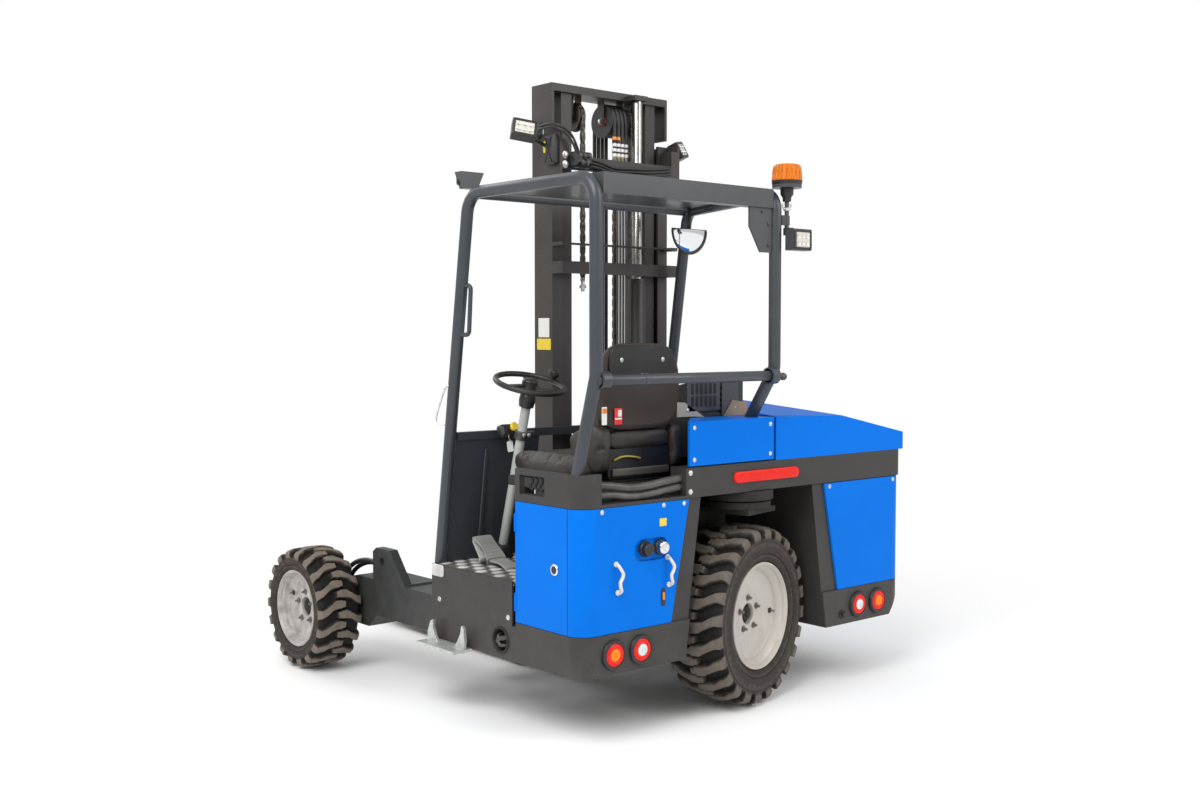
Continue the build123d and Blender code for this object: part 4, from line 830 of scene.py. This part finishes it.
def cushion_form(centre, half_sizes, plan, section, shape):
    """A squared ellipsoid: cosines and sines of two angles raised to small powers, then bent by shape."""
    u, v = np.meshgrid(np.linspace(0, 2 * math.pi, 96, endpoint=False), np.linspace(-math.pi / 2, math.pi / 2, 41), indexing="ij")
    x = power(np.cos(u), plan) * power(np.cos(v), section)
    y = power(np.sin(u), plan) * power(np.cos(v), section)
    z = power(np.sin(v), section)
    unit = np.stack([x, y, z], -1)
    points = shape(unit) * np.asarray(half_sizes) + np.asarray(centre)
    return points.reshape(-1, 3), grid_faces(96, 41, closed_rows=True)


def blown(name, part, voxel, reach, held_below):
    """Foam under a cover: the form is remeshed and blown up by the cloth solver, each point moving by no
    more than its reach, while the points that the pan holds stay; a sewn line is pressed in afterwards."""
    start = add_piece(f"{name}_start", part, vinyl)
    even = start.modifiers.new("even", "REMESH")
    even.mode = "VOXEL"
    even.voxel_size = voxel
    depsgraph = bpy.context.evaluated_depsgraph_get()
    mesh = bpy.data.meshes.new_from_object(start.evaluated_get(depsgraph))
    bpy.data.objects.remove(start)
    made = bpy.data.objects.new(name, mesh)
    scene.collection.objects.link(made)
    rest = np.empty(len(mesh.vertices) * 3)
    mesh.vertices.foreach_get("co", rest)
    rest = rest.reshape(-1, 3)
    pinned = made.vertex_groups.new(name="pan")
    pinned.add(np.flatnonzero(held_below(rest)).tolist(), 1.0, "REPLACE")
    cloth = made.modifiers.new("cloth", "CLOTH")
    cloth.settings.use_pressure = True
    cloth.settings.uniform_pressure_force = 4.0
    cloth.settings.effector_weights.gravity = 0.0
    cloth.settings.vertex_group_mass = "pan"
    cloth.settings.quality = 4
    for step in range(1, 15):
        scene.frame_set(step)
    held = made.evaluated_get(bpy.context.evaluated_depsgraph_get())
    blown_mesh = held.to_mesh()
    moved = np.empty(len(rest) * 3)
    blown_mesh.vertices.foreach_get("co", moved)
    held.to_mesh_clear()
    shift = moved.reshape(-1, 3) - rest
    far = np.linalg.norm(shift, axis=1, keepdims=True)
    rest = rest + shift * np.minimum(1.0, reach / np.maximum(far, 1e-9))
    made.modifiers.remove(cloth)
    scene.frame_set(1)
    return made, rest


def finish_cushion(made, points, seams):
    """The pressed seams: each lowers the cover along its line by a narrow bell curve; then one subdivision."""
    for distance, way, depth, width in seams(points):
        points = points - np.asarray(way) * (depth * np.exp(-(distance / width) ** 2))[:, None]
    made.data.vertices.foreach_set("co", points.ravel())
    made.data.update()
    made.data.materials.clear()
    made.data.materials.append(vinyl)
    made.data.shade_smooth()
    fine = made.modifiers.new("fine", "SUBSURF")
    fine.levels = fine.render_levels = 1
    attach(made, "chassis")


vinyl = paint("seat_vinyl", (0.033, 0.026, 0.022), 0.42, mottle=0.14, peel=0.55, peel_size=1100.0,
              cloud=9.0, chips=0.25, chip_colour=(0.09, 0.08, 0.07))
cushion_middle = np.array(metres(-531, 326, 1008))
back_middle = np.array(metres(-494, 92, 1284))


def cushion_bend(unit):
    """Bolsters rise at both sides of the top, the front edge rolls down and the rear tucks in."""
    side = np.clip((np.abs(unit[..., 0]) - 0.62) / 0.3, 0, 1)
    top = np.clip(unit[..., 2], 0, 1)
    bent = unit.copy()
    bent[..., 2] += 0.42 * top * side * side * (3 - 2 * side) - 0.1 * top * np.clip(unit[..., 1] - 0.6, 0, 1) * 2
    bent[..., 0] *= 1.0 - 0.06 * np.clip(-unit[..., 1] - 0.3, 0, 1)
    return bent


def seat_seams(points):
    """Two long seams inside the bolsters, and three cross channels between them, pressed into the top."""
    x, y, z = (points - cushion_middle).T
    top = z > 0.012
    yield np.where(top, np.abs(np.abs(x) - 0.142), 1.0), (0, 0, 1), 0.007, 0.004
    for line in (-0.12, 0.0, 0.12):
        yield np.where(top & (np.abs(x) < 0.14), np.abs(y - line), 1.0), (0, 0, 1), 0.005, 0.004


seat_form = cushion_form(cushion_middle, (0.226, 0.248, 0.038), 0.3, 0.42, cushion_bend)
seat_pad, seat_rest = blown("seat_pad", seat_form, 0.007, 0.014, lambda p: p[:, 2] < cushion_middle[2] - 0.03)
finish_cushion(seat_pad, seat_rest, seat_seams)
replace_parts(seat_pad, "seat_cushion")


def back_bend(unit):
    """Narrower at the top than at the middle, with bolsters forward at both sides."""
    side = np.clip((np.abs(unit[..., 0]) - 0.6) / 0.3, 0, 1)
    front = np.clip(unit[..., 1], 0, 1)
    bent = unit.copy()
    bent[..., 0] *= 1.0 - 0.2 * np.clip(unit[..., 2] - 0.35, 0, 1) ** 1.5 * 1.6 - 0.05 * np.clip(-unit[..., 2], 0, 1)
    bent[..., 1] += 0.5 * front * side * (1 - 0.5 * np.clip(unit[..., 2], 0, 1))
    return bent


def back_seams(points):
    """Upright seams inside the bolsters and two level channels, pressed into the front."""
    x, y, z = (points - back_middle).T
    front = y > 0.01
    yield np.where(front, np.abs(np.abs(x) - 0.122), 1.0), (0, 1, 0), 0.006, 0.004
    for line in (-0.07, 0.07):
        yield np.where(front & (np.abs(x) < 0.12), np.abs(z - line), 1.0), (0, 1, 0), 0.005, 0.004


back_form = cushion_form(back_middle, (0.2, 0.026, 0.205), 0.42, 0.3, back_bend)
back_pad, back_rest = blown("back_pad", back_form, 0.007, 0.012, lambda p: p[:, 1] < back_middle[1] - 0.018)
finish_cushion(back_pad, back_rest, back_seams)
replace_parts(back_pad, "seat_back")


def seat_shell(turn_in, rise):
    """One ring of the shell: a squared ellipse, narrower towards the top, drawn in by its share and moved by its
    rise."""
    angle = np.linspace(0, 2 * math.pi, 96, endpoint=False)
    x = power(np.cos(angle), 0.5) * 0.214
    z = power(np.sin(angle), 0.36) * 0.171
    x = x * (1.0 - 0.3 * np.clip(z / 0.171 - 0.2, 0, 1) ** 1.4 - 0.04 * np.clip(-z / 0.171, 0, 1))
    return np.stack([x * turn_in, np.full(96, rise), z * turn_in], -1)


shell_rings = [np.array(metres(-494, 40, 1337)) + seat_shell(*ring) for ring in (
    (0.98, 0.03), (1.0, 0.024), (1.0, 0.006), (0.985, -0.003), (0.93, -0.008), (0.86, -0.006), (0.84, -0.0045),
    (0.5, -0.006), (0.0, -0.006))]
shell_faces = grid_faces(len(shell_rings), 96, closed_columns=True).tolist() + [list(range(96))]
brown_shell = paint("brown_shell", (0.036, 0.026, 0.021), 0.5, specular=0.3, mottle=0.12, peel=0.3,
                    peel_size=800.0, chips=0.2, chip_colour=(0.1, 0.09, 0.08))
add_piece("seat_shell", (np.concatenate(shell_rings), shell_faces), brown_shell)
add_piece("seat_top_plate", plate(-494, 32, 1430, 0.348, 0.136, 0.062, 0.006),
          paint("seat_pad_black", (0.009, 0.0085, 0.0085), 0.3, peel=0.3, peel_size=500.0, mottle=0.2))
set_heads("seat_screws", screw_head(to_rear), [(x, 26, 1442) for x in (-604, -384)])
label_red = paint("label_red", (0.74, 0.03, 0.03), 0.4, mottle=0.05)
for name, x, y, z, width, height, material in (
    ("seat_label_red", -618, 30.5, 1222, 0.04, 0.064, label_red),
    ("seat_label_band", -618, 29.4, 1213, 0.036, 0.006, tag_white),
    ("seat_label_mark", -611, 29.4, 1234, 0.018, 0.026, tag_white),
    ("seat_tag", -690, 30.5, 1226, 0.026, 0.07, tag_white),
    ("seat_tag_top", -690, 29.4, 1246, 0.022, 0.02, orange_catch),
):
    add_piece(name, plate(x, y, z, width, height, 0.003, 0.001), material)


# Hip wings and lumbar roll: padded vinyl bodies at both sides of the cushion's rear and across it.
# They are blown up from the same squared ellipsoid and have no sewn line of their own.
def wing_bend(unit):
    """A wing is drawn in a little at its top front corner and rolled round behind."""
    bent = unit.copy()
    bent[..., 2] -= 0.35 * np.clip(unit[..., 2], 0, 1) * np.clip(unit[..., 1], 0, 1)
    bent[..., 0] *= 1.0 + 0.08 * np.sin(unit[..., 2] * 2.4)
    return bent


for name, x, y, z, sizes, shape, held_to in (
    ("hip_wing_left", -684, 122, 1092, (0.032, 0.104, 0.092), wing_bend, 1.01),
    ("hip_wing_right", -296, 128, 1092, (0.031, 0.104, 0.092), wing_bend, 1.01),
    ("lumbar_roll", -490, 66, 1128, (0.16, 0.03, 0.036), np.copy, 1.085),
):
    form = cushion_form(metres(x, y, z), sizes, 0.4, 0.45, shape)
    finish_cushion(*blown(name, form, 0.006, 0.007, lambda points: points[:, 2] < held_to), lambda points: ())


# Seat's foot: a rectangular rubber bellows under the cushion, the board and the steel slide behind it,
# the yellow lever that frees the slide, and the belt's reel at the right.
def bellows(centre, half_x, half_y, low, high, folds):
    """A rectangular concertina: squared rings whose reach swings by a cosine of the height."""
    level = np.linspace(0, 1, folds * 8 + 1)
    angle = np.linspace(0, 2 * math.pi, 96, endpoint=False)
    swing = 1.0 + 0.045 * np.cos(2 * math.pi * folds * level)
    x = power(np.cos(angle), 0.3)[None] * half_x * swing[:, None] + centre[0]
    y = power(np.sin(angle), 0.3)[None] * half_y * swing[:, None] + centre[1]
    z = np.repeat((low + (high - low) * level)[:, None], 96, 1)
    return np.stack([x, y, z], -1).reshape(-1, 3), grid_faces(len(level), 96, closed_columns=True)


add_piece("seat_bellows", bellows(metres(-520, 300, 0), 0.226, 0.25, 0.925, 0.985, 3), black_plastic)
add_piece("seat_rear_board", plate(-490, 54, 1034, 0.33, 0.12, 0.012, 0.006), black_plastic)
add_piece("seat_slide", plate(-488, 47, 1000, 0.3, 0.03, 0.006, 0.012),
          paint("slide_grey", (0.16, 0.145, 0.125), 0.36, mottle=0.25, metal=0.3))
lever = smooth_path(((-628, 44, 1050), (-590, 38, 1062), (-540, 36, 1060), (-500, 38, 1052)), 16)
add_piece("seat_lever", tube_along(lever, 0.0075, 12, squash=0.55),
          paint("lever_yellow", (0.42, 0.33, 0.05), 0.4, mottle=0.2))
add_piece("belt_reel", plate(-268, 300, 1010, 0.05, 0.075, 0.012, 0.022, (0, 1, 0)), black_plastic)


# Console right of the seat and the plates beside it: black moulded box with slots in its back,
# and folded warm grey and brown plates that lean against it.
def wedge(corners, thick):
    """A flat folded plate: its outline is shifted along its own normal by its thickness."""
    corners = np.array([metres(*corner) for corner in corners])
    normal = np.cross(corners[1] - corners[0], corners[2] - corners[0])
    normal = normal / np.linalg.norm(normal) * thick
    count = len(corners)
    side = [[i, (i + 1) % count, (i + 1) % count + count, i + count] for i in range(count)]
    return np.concatenate([corners, corners + normal]), [list(range(count)), list(range(count, 2 * count))] + side


dress(black_plastic, "console")
left_wedge = ((-298, 31, 1206), (-226, 31, 1206), (-143, 31, 1201), (-256, 31, 1264), (-298, 31, 1266))
right_wedge = ((-31, 29, 1201), (112, 29, 1201), (106, 29, 1254), (20, 29, 1266))
back_sheet = ((-40, 33, 1201), (60, 33, 1201), (60, 33, 1340), (-40, 33, 1340))
add_piece("left_wedge", wedge(left_wedge, 0.004),
          paint("plate_warm_grey", (0.36, 0.335, 0.29), 0.5, mottle=0.14, peel=0.08, chips=0.3))
add_piece("right_wedge", wedge(right_wedge, 0.004),
          paint("plate_warm_brown", (0.27, 0.195, 0.13), 0.5, mottle=0.16, peel=0.08, chips=0.3))
set_heads("wedge_screws", screw_head(to_rear, 0.005), ((36, 28, 1236), (-240, 29, 1232)))
add_piece("console_back_sheet", wedge(back_sheet, 0.003), guard_coat)
add_piece("console_slot_board", plate(-146, 35, 1290, 0.19, 0.13, 0.012, 0.004), guard_coat)
# The slots are flat near-black plates: painted shade of the openings in the board.
slots = [plate(-212 + 26 * i, 31, z, 0.014, 0.044, 0.005, 0.0015) for i in range(6) for z in (1266, 1318)]
add_piece("console_slots", joined(slots), paint("slot_painted_shade", (0.004, 0.004, 0.004), 0.6, mottle=0.1))


# Mast: rolled channels in black-brown paint, worn to grease and bare steel along the roller paths;
# carriage, forks and sliding base in flat black; cylinders' rods are hard chrome.
mast_coat = paint("mast_coat", (0.034, 0.028, 0.026), 0.42, mottle=0.25, peel=0.04, cloud=3.5, chips=0.6,
                  chip_colour=(0.2, 0.16, 0.12), dust=0.3)
dress(mast_coat, "outer_mast", "inner_mast")
fork_black = paint("fork_black", (0.024, 0.023, 0.022), 0.5, mottle=0.3, peel=0.15, peel_size=160.0, chips=0.9,
                   chip_colour=(0.16, 0.13, 0.1), dust=0.4)
dress(fork_black, "fork_carriage", "fork_left", "fork_right", "mast_base")
dress(paint("cylinder_coat", (0.05, 0.046, 0.042), 0.4, mottle=0.15, peel=0.05, chips=0.4, dust=0.3),
      "tilt_barrel_left", "tilt_barrel_right")
dress(paint("rod_chrome", (0.36, 0.35, 0.33), 0.24, mottle=0.2, peel=0.02, metal=1.0, cloud=12.0),
      "lift_rod", "tilt_rod_left", "tilt_rod_right")
dress(paint("engine_iron", (0.06, 0.058, 0.056), 0.6, mottle=0.3, peel=0.6, peel_size=220.0, cloud=18.0, dust=0.5,
            dust_top=1.3), "engine_block")
dress(paint("step_zinc", (0.6, 0.62, 0.6), 0.38, mottle=0.16, peel=0.08, metal=0.6, cloud=55.0, dust=0.3,
            dust_colour=(0.35, 0.32, 0.27)), "boarding_step")


# Lift chains: leaf chain of oiled steel plates on pins, from the outer mast's rear over a grooved
# pulley to the fork carriage, two side by side.
def along_chain(s):
    """The chain's line by its length: up the rear, half a turn round the pulley, down the front."""
    turn = np.clip((s - runs[0]) / runs[1], 0, 1) * math.pi
    y = metres(0, 868, 0)[1] - radius * np.cos(turn)
    z = rise + radius * np.sin(turn) - np.clip(runs[0] - s, 0, None) - np.clip(s - runs[0] - runs[1], 0, None)
    return np.stack([y, z], -1)


inner, outer = "inner_mast_body", "outer_mast_body"
chain_steel = paint("chain_steel", (0.13, 0.115, 0.1), 0.36, mottle=0.4, peel=0.05, metal=0.75,
                    cloud=60.0)
radius, rise, rear_low, front_low, pitches = 0.0608, 2.53, 1.79, 0.56, 114
runs = (rise - rear_low, math.pi * radius, rise - front_low)
pins = along_chain(np.linspace(0, sum(runs), pitches + 1))
oval = np.linspace(0, 2 * math.pi, 12, endpoint=False) + math.pi / 12
plate_points, plate_faces = [], []
for x_middle in (-0.15, 0.15):
    for k in range(pitches):
        way = pins[k + 1] - pins[k]
        pitch = np.linalg.norm(way)
        way = way / pitch
        side = np.array([-way[1], way[0]])
        along = np.sign(np.cos(oval)) * pitch / 2 + 0.0078 * np.cos(oval)
        ring = (pins[k] + pins[k + 1]) / 2 + along[:, None] * way + 0.0078 * np.sin(oval)[:, None] * side
        for x in ((-0.0094, -0.0032, 0.0032, 0.0094) if k % 2 else (-0.0063, 0.0, 0.0063)):
            first = len(plate_points) * 24
            both = [np.column_stack([np.full(12, x_middle + x + dx), ring]) for dx in (-0.0013, 0.0013)]
            plate_points.append(np.concatenate(both))
            corner = np.arange(12) + first
            plate_faces += np.stack([corner, np.roll(corner, -1), np.roll(corner, -1) + 12, corner + 12], -1).tolist()
            plate_faces += [corner.tolist(), (corner + 12).tolist()]
chain = add_piece("leaf_chains", (np.concatenate(plate_points), plate_faces), chain_steel, inner)
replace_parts(chain, "lift_chains")
pin = [(-0.0112, 0.0), (-0.0112, 0.003), (-0.0106, 0.0036), (0.0106, 0.0036), (0.0112, 0.003), (0.0112, 0.0)]
pin_places = [(x, *pin_at) for x in (-0.15, 0.15) for pin_at in pins]
add_piece("chain_pins", repeated(turned(pin, (0, 0, 0), to_right, 10), pin_places), chain_steel, inner)
sheave = [(-0.017, 0.0122), (-0.0172, 0.03), (-0.0165, 0.056), (-0.0175, 0.062), (-0.016, 0.064), (-0.0132, 0.0635),
          (-0.0122, 0.054), (-0.0118, 0.0523)]
sheave += [(-x, size) for x, size in sheave[::-1]] + sheave[:1]
sheaves = [turned(sheave, metres(x, 868, 2530), to_right, 64) for x in (-150, 150)]
add_piece("chain_pulleys", joined(sheaves), mast_coat, inner)
eye_nut = [(0.0, 0.009), (0.0, 0.015), (0.014, 0.015), (0.016, 0.013), (0.016, 0.009)]
eyes = [tube_along([metres(x, 807, 1798), metres(x, 807, 1740)], 0.0085, 16) for x in (-150, 150)]
eyes += [turned(eye_nut, metres(x, 807, 1752), upward, 6) for x in (-150, 150)]
add_piece("chain_anchors", joined(eyes), zinc_screw, inner)


# Mast hoses: four rubber hoses from brass-coloured fittings over a wide grooved pulley with a red ring
# round its hub, and down to the carriage; orange and white bands mark them.
def hose(name, corners, diameter, body="chassis", material=None):
    """One smooth open line through a few control points in millimetres, thickened to a round hose."""
    places = [metres(*corner) for corner in corners]
    line = bpy.data.curves.new(name, "CURVE")
    line.dimensions = "3D"
    run = line.splines.new("NURBS")
    run.points.add(len(places) - 1)
    run.points.foreach_set("co", np.column_stack([places, np.ones(len(places))]).ravel())
    run.order_u = 3
    run.use_endpoint_u = True
    line.resolution_u = 10
    made = bpy.data.objects.new(name, line)
    scene.collection.objects.link(made)
    bare = bpy.data.meshes.new_from_object(made)
    points = np.empty(len(bare.vertices) * 3)
    bare.vertices.foreach_get("co", points)
    bpy.data.meshes.remove(bare)
    line.bevel_depth = diameter / 2
    line.bevel_resolution = 5
    line.use_fill_caps = True
    line.materials.append(material or hose_rubber)
    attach(made, body)
    return made


hose_rubber = paint("hose_rubber", (0.02, 0.019, 0.018), 0.46, mottle=0.2, peel=0.12, peel_size=900.0, cloud=20.0)
hose_rows, reach, pulley_at = (33, 57, 81, 105), 71.3, metres(17, 868, 2530)
for number, x in enumerate(hose_rows, 1):
    run = ((-reach, 2340), (-reach, 2440), (-reach, 2530 + 0.414 * reach), (-0.414 * reach, 2530 + reach),
           (0.414 * reach, 2530 + reach), (reach, 2530 + 0.414 * reach), (reach, 2400), (reach, 900), (reach, 700))
    made_hose = hose(f"mast_hose_{number}", [(x, 868 + dy, z) for dy, z in run], 0.018, inner)
    if number == 1:
        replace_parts(made_hose, "mast_hoses")
groove = [(0.0, 0.0122), (0.0, 0.076), (0.0035, 0.0765), (0.005, 0.074)]
for x in (0.016, 0.04, 0.064, 0.088):
    groove += [(x - 0.0105, 0.072), (x - 0.0085, 0.0665), (x - 0.004, 0.0628), (x, 0.0618), (x + 0.004, 0.0628),
               (x + 0.0085, 0.0665), (x + 0.0105, 0.072)]
groove += [(0.098, 0.0765), (0.102, 0.076), (0.102, 0.0122), (0.0, 0.0122)]
add_piece("hose_pulley", turned(groove, pulley_at, to_right, 72), black_plastic, inner)
red_mark = paint("red_mark", (0.5, 0.03, 0.025), 0.4, mottle=0.1)
hub_ring = [(0.0, 0.019), (-0.0015, 0.0195), (-0.002, 0.024), (0.0, 0.0255)]
add_piece("hose_pulley_ring", turned(hub_ring, pulley_at, to_right, 40), red_mark, inner)
set_heads("hose_pulley_bolt", hex_bolt(to_left, 0.01), [(9, 868, 2530)], body=inner)
orange_mark = paint("orange_mark", (0.85, 0.28, 0.02), 0.5, mottle=0.1)
sleeve = [(-0.007, 0.009), (-0.007, 0.0098), (0.007, 0.0098), (0.007, 0.009)]
for name, material, heights, rows in (("orange_bands", orange_mark, (2446,), hose_rows[:2]),
                                      ("white_bands", tag_white, (2416, 2393, 2370), hose_rows)):
    bands = [turned(sleeve, metres(x, 868 - reach, z), upward, 24) for x in rows for z in heights]
    add_piece(name, joined(bands), material, inner)
fitting = [(0.0, 0.0), (0.0, 0.0075), (0.012, 0.0078), (0.012, 0.0115), (0.022, 0.0115), (0.023, 0.0102),
           (0.032, 0.0104), (0.034, 0.009)]
fittings = [turned(fitting, metres(x, 868 - reach, 2330), upward, 12) for x in hose_rows]
dull_brass = paint("dull_brass", (0.2, 0.17, 0.12), 0.4, mottle=0.15, metal=0.7, cloud=60.0)
add_piece("hose_fittings", joined(fittings), dull_brass, inner)
pipes = []
for number, x in enumerate(hose_rows):
    low_x = 16 + 18 * number
    pipe = ((x, 797, 2322), (x, 790, 2296), (0.5 * (x + low_x), 768, 2262), (low_x, 758, 2200), (low_x, 756, 1900),
            (low_x, 756, 1300), (low_x, 756, 700))
    pipes.append(tube_along(smooth_path(pipe, 40), 0.006, 12))
add_piece("mast_pipes", joined(pipes), dark_steel, outer)
clip_heights = (1840, 1250, 760)
clips = [plate(43, 750, z, 0.085, 0.03, 0.006, 0.004) for z in clip_heights]
add_piece("pipe_clips", joined(clips), black_plastic, outer)
set_heads("pipe_clip_bolts", hex_bolt(to_rear, 0.006), [(43, 745, z) for z in clip_heights], body=outer)


# Valve block at the mast's upper left: black boxes with plugs, a red and a white dot, pale bolts and a
# yellow spot, two blank plates on the rail below, hoses to it and across the mast, and the mast's two lamps.
add_piece("mast_valve_1", plate(-352, 752, 2352, 0.07, 0.13, 0.01, 0.04, to_rear), black_plastic, outer)
add_piece("mast_valve_2", plate(-262, 700, 2310, 0.1, 0.07, 0.01, 0.045), black_plastic, outer)
plugs = ((-290, 2325), (-262, 2325), (-234, 2325), (-276, 2296), (-246, 2296))
set_heads("valve_plugs", hex_bolt(to_rear, 0.008), [(x, 654, z) for x, z in plugs], dark_steel, outer)
add_piece("lamp_valve", plate(-350, 874, 2446, 0.062, 0.07, 0.01, 0.03, to_rear), black_plastic, outer)
dot = [(0.0, 0.012), (0.004, 0.0115), (0.006, 0.008), (0.006, 0.0)]
for name, material, y, z in (("red_dot", red_mark, 886, 2464), ("white_dot", tag_white, 862, 2444)):
    add_piece(name, turned(dot, metres(-380, y, z), to_left, 24), material, outer)
add_piece("yellow_spot", plate(-362.5, 806, 2371, 0.036, 0.05, 0.008, 0.003, to_rear),
          paint("yellow_bright", (0.85, 0.78, 0.01), 0.4, mottle=0.05), outer)
set_heads("rail_head_bolts", hex_bolt(to_rear), [(-334, 705.5, z) for z in (2330, 2289)], body=outer)
for number, lift in enumerate((0, 14), 1):
    arc = ((-378, 840 - lift, 2450 + lift), (-384, 760, 2456 + lift), (-376, 692, 2440 + lift),
           (-340 + lift, 676, 2410 + lift), (-306 + lift, 670, 2360), (-292 + lift, 672, 2322))
    hose(f"lamp_hose_{number}", arc, 0.011, outer)
for name, material, z, width, height in (("rail_plate_white", tag_white, 1572, 0.078, 0.086),
                                         ("rail_plate_yellow", yellow_plate, 1498, 0.1, 0.05)):
    add_piece(name, plate(-350.5, 838, z, width, height, 0.004, 0.001, to_rear), material, outer)
for number, (drop, middle_y) in enumerate(((0, 690), (14, 696), (28, 690)), 1):
    bundle = ((-212, 690, 2318), (-150, 684, 2312), (-70, middle_y, 2290), (20, middle_y, 2296), (140, 688, 2300),
              (240, 694, 2312), (300, 706, 2322))
    hose(f"cross_hose_{number}", [(x, y, z - drop) for x, y, z in bundle], 0.013, outer)
for number, (side, y, roll) in enumerate(((-1, 800, 20), (1, 850, -20)), 1):
    cx, cy, cz = np.cos(np.radians([-18.0, roll, 25.0 * side]))
    sx, sy, sz = np.sin(np.radians([-18.0, roll, 25.0 * side]))
    lean = (np.array([[1, 0, 0], [0, cx, -sx], [0, sx, cx]]) @ np.array([[cy, 0, sy], [0, 1, 0], [-sy, 0, cy]])
            @ np.array([[cz, -sz, 0], [sz, cz, 0], [0, 0, 1]]))
    looks = lean @ np.array([0.0, -1.0, 0.0])
    middle = np.array(metres(side * 490, y, 2430)) + looks * 0.024
    lamp_front(f"mast_lamp_{number}", middle, looks, lean @ np.array([0.0, 0.0, 1.0]), 0.11, 0.084, outer)


# Hoses of the body: two thick ones in the gap behind the seat, a pair to the left wheel motor, and
# the bent bars in the recess of the left band.
worn_hose = paint("worn_hose", (0.075, 0.071, 0.067), 0.36, mottle=0.3, peel=0.12, peel_size=900.0, cloud=16.0)
for number, (height, fall) in enumerate(((958, 0), (925, 10)), 1):
    gap = ((-868, -100, 22 - fall), (-800, -118, 20), (-700, -128, 2), (-600, -130, 6), (-520, -126, 16),
           (-440, -120, 20), (-415, -112, 20))
    hose(f"rear_hose_{number}", [(x, y, height + dz) for x, y, dz in gap], 0.03, material=worn_hose)
for number, (dx, dz) in enumerate(((0, 0), (30, -14)), 1):
    drop = ((-905, 1352, 505), (-905, 1400, 506), (-908, 1470, 506), (-912, 1550, 484), (-914, 1620, 440),
            (-912, 1650, 400), (-908, 1660, 350))
    hose(f"wheel_hose_{number}", [(x + dx, y, z + dz) for x, y, z in drop], 0.022)
band_bar = ((8, 996), (-5, 988), (-2, 974), (8, 966), (10, 954), (-4, 946))
bars = [tube_along(smooth_path([(-930, y + dy, z) for dy, z in band_bar], 24), 0.0055, 10) for y in (86, 116, 146, 176)]
add_piece("band_bars", joined(bars), black_plastic)
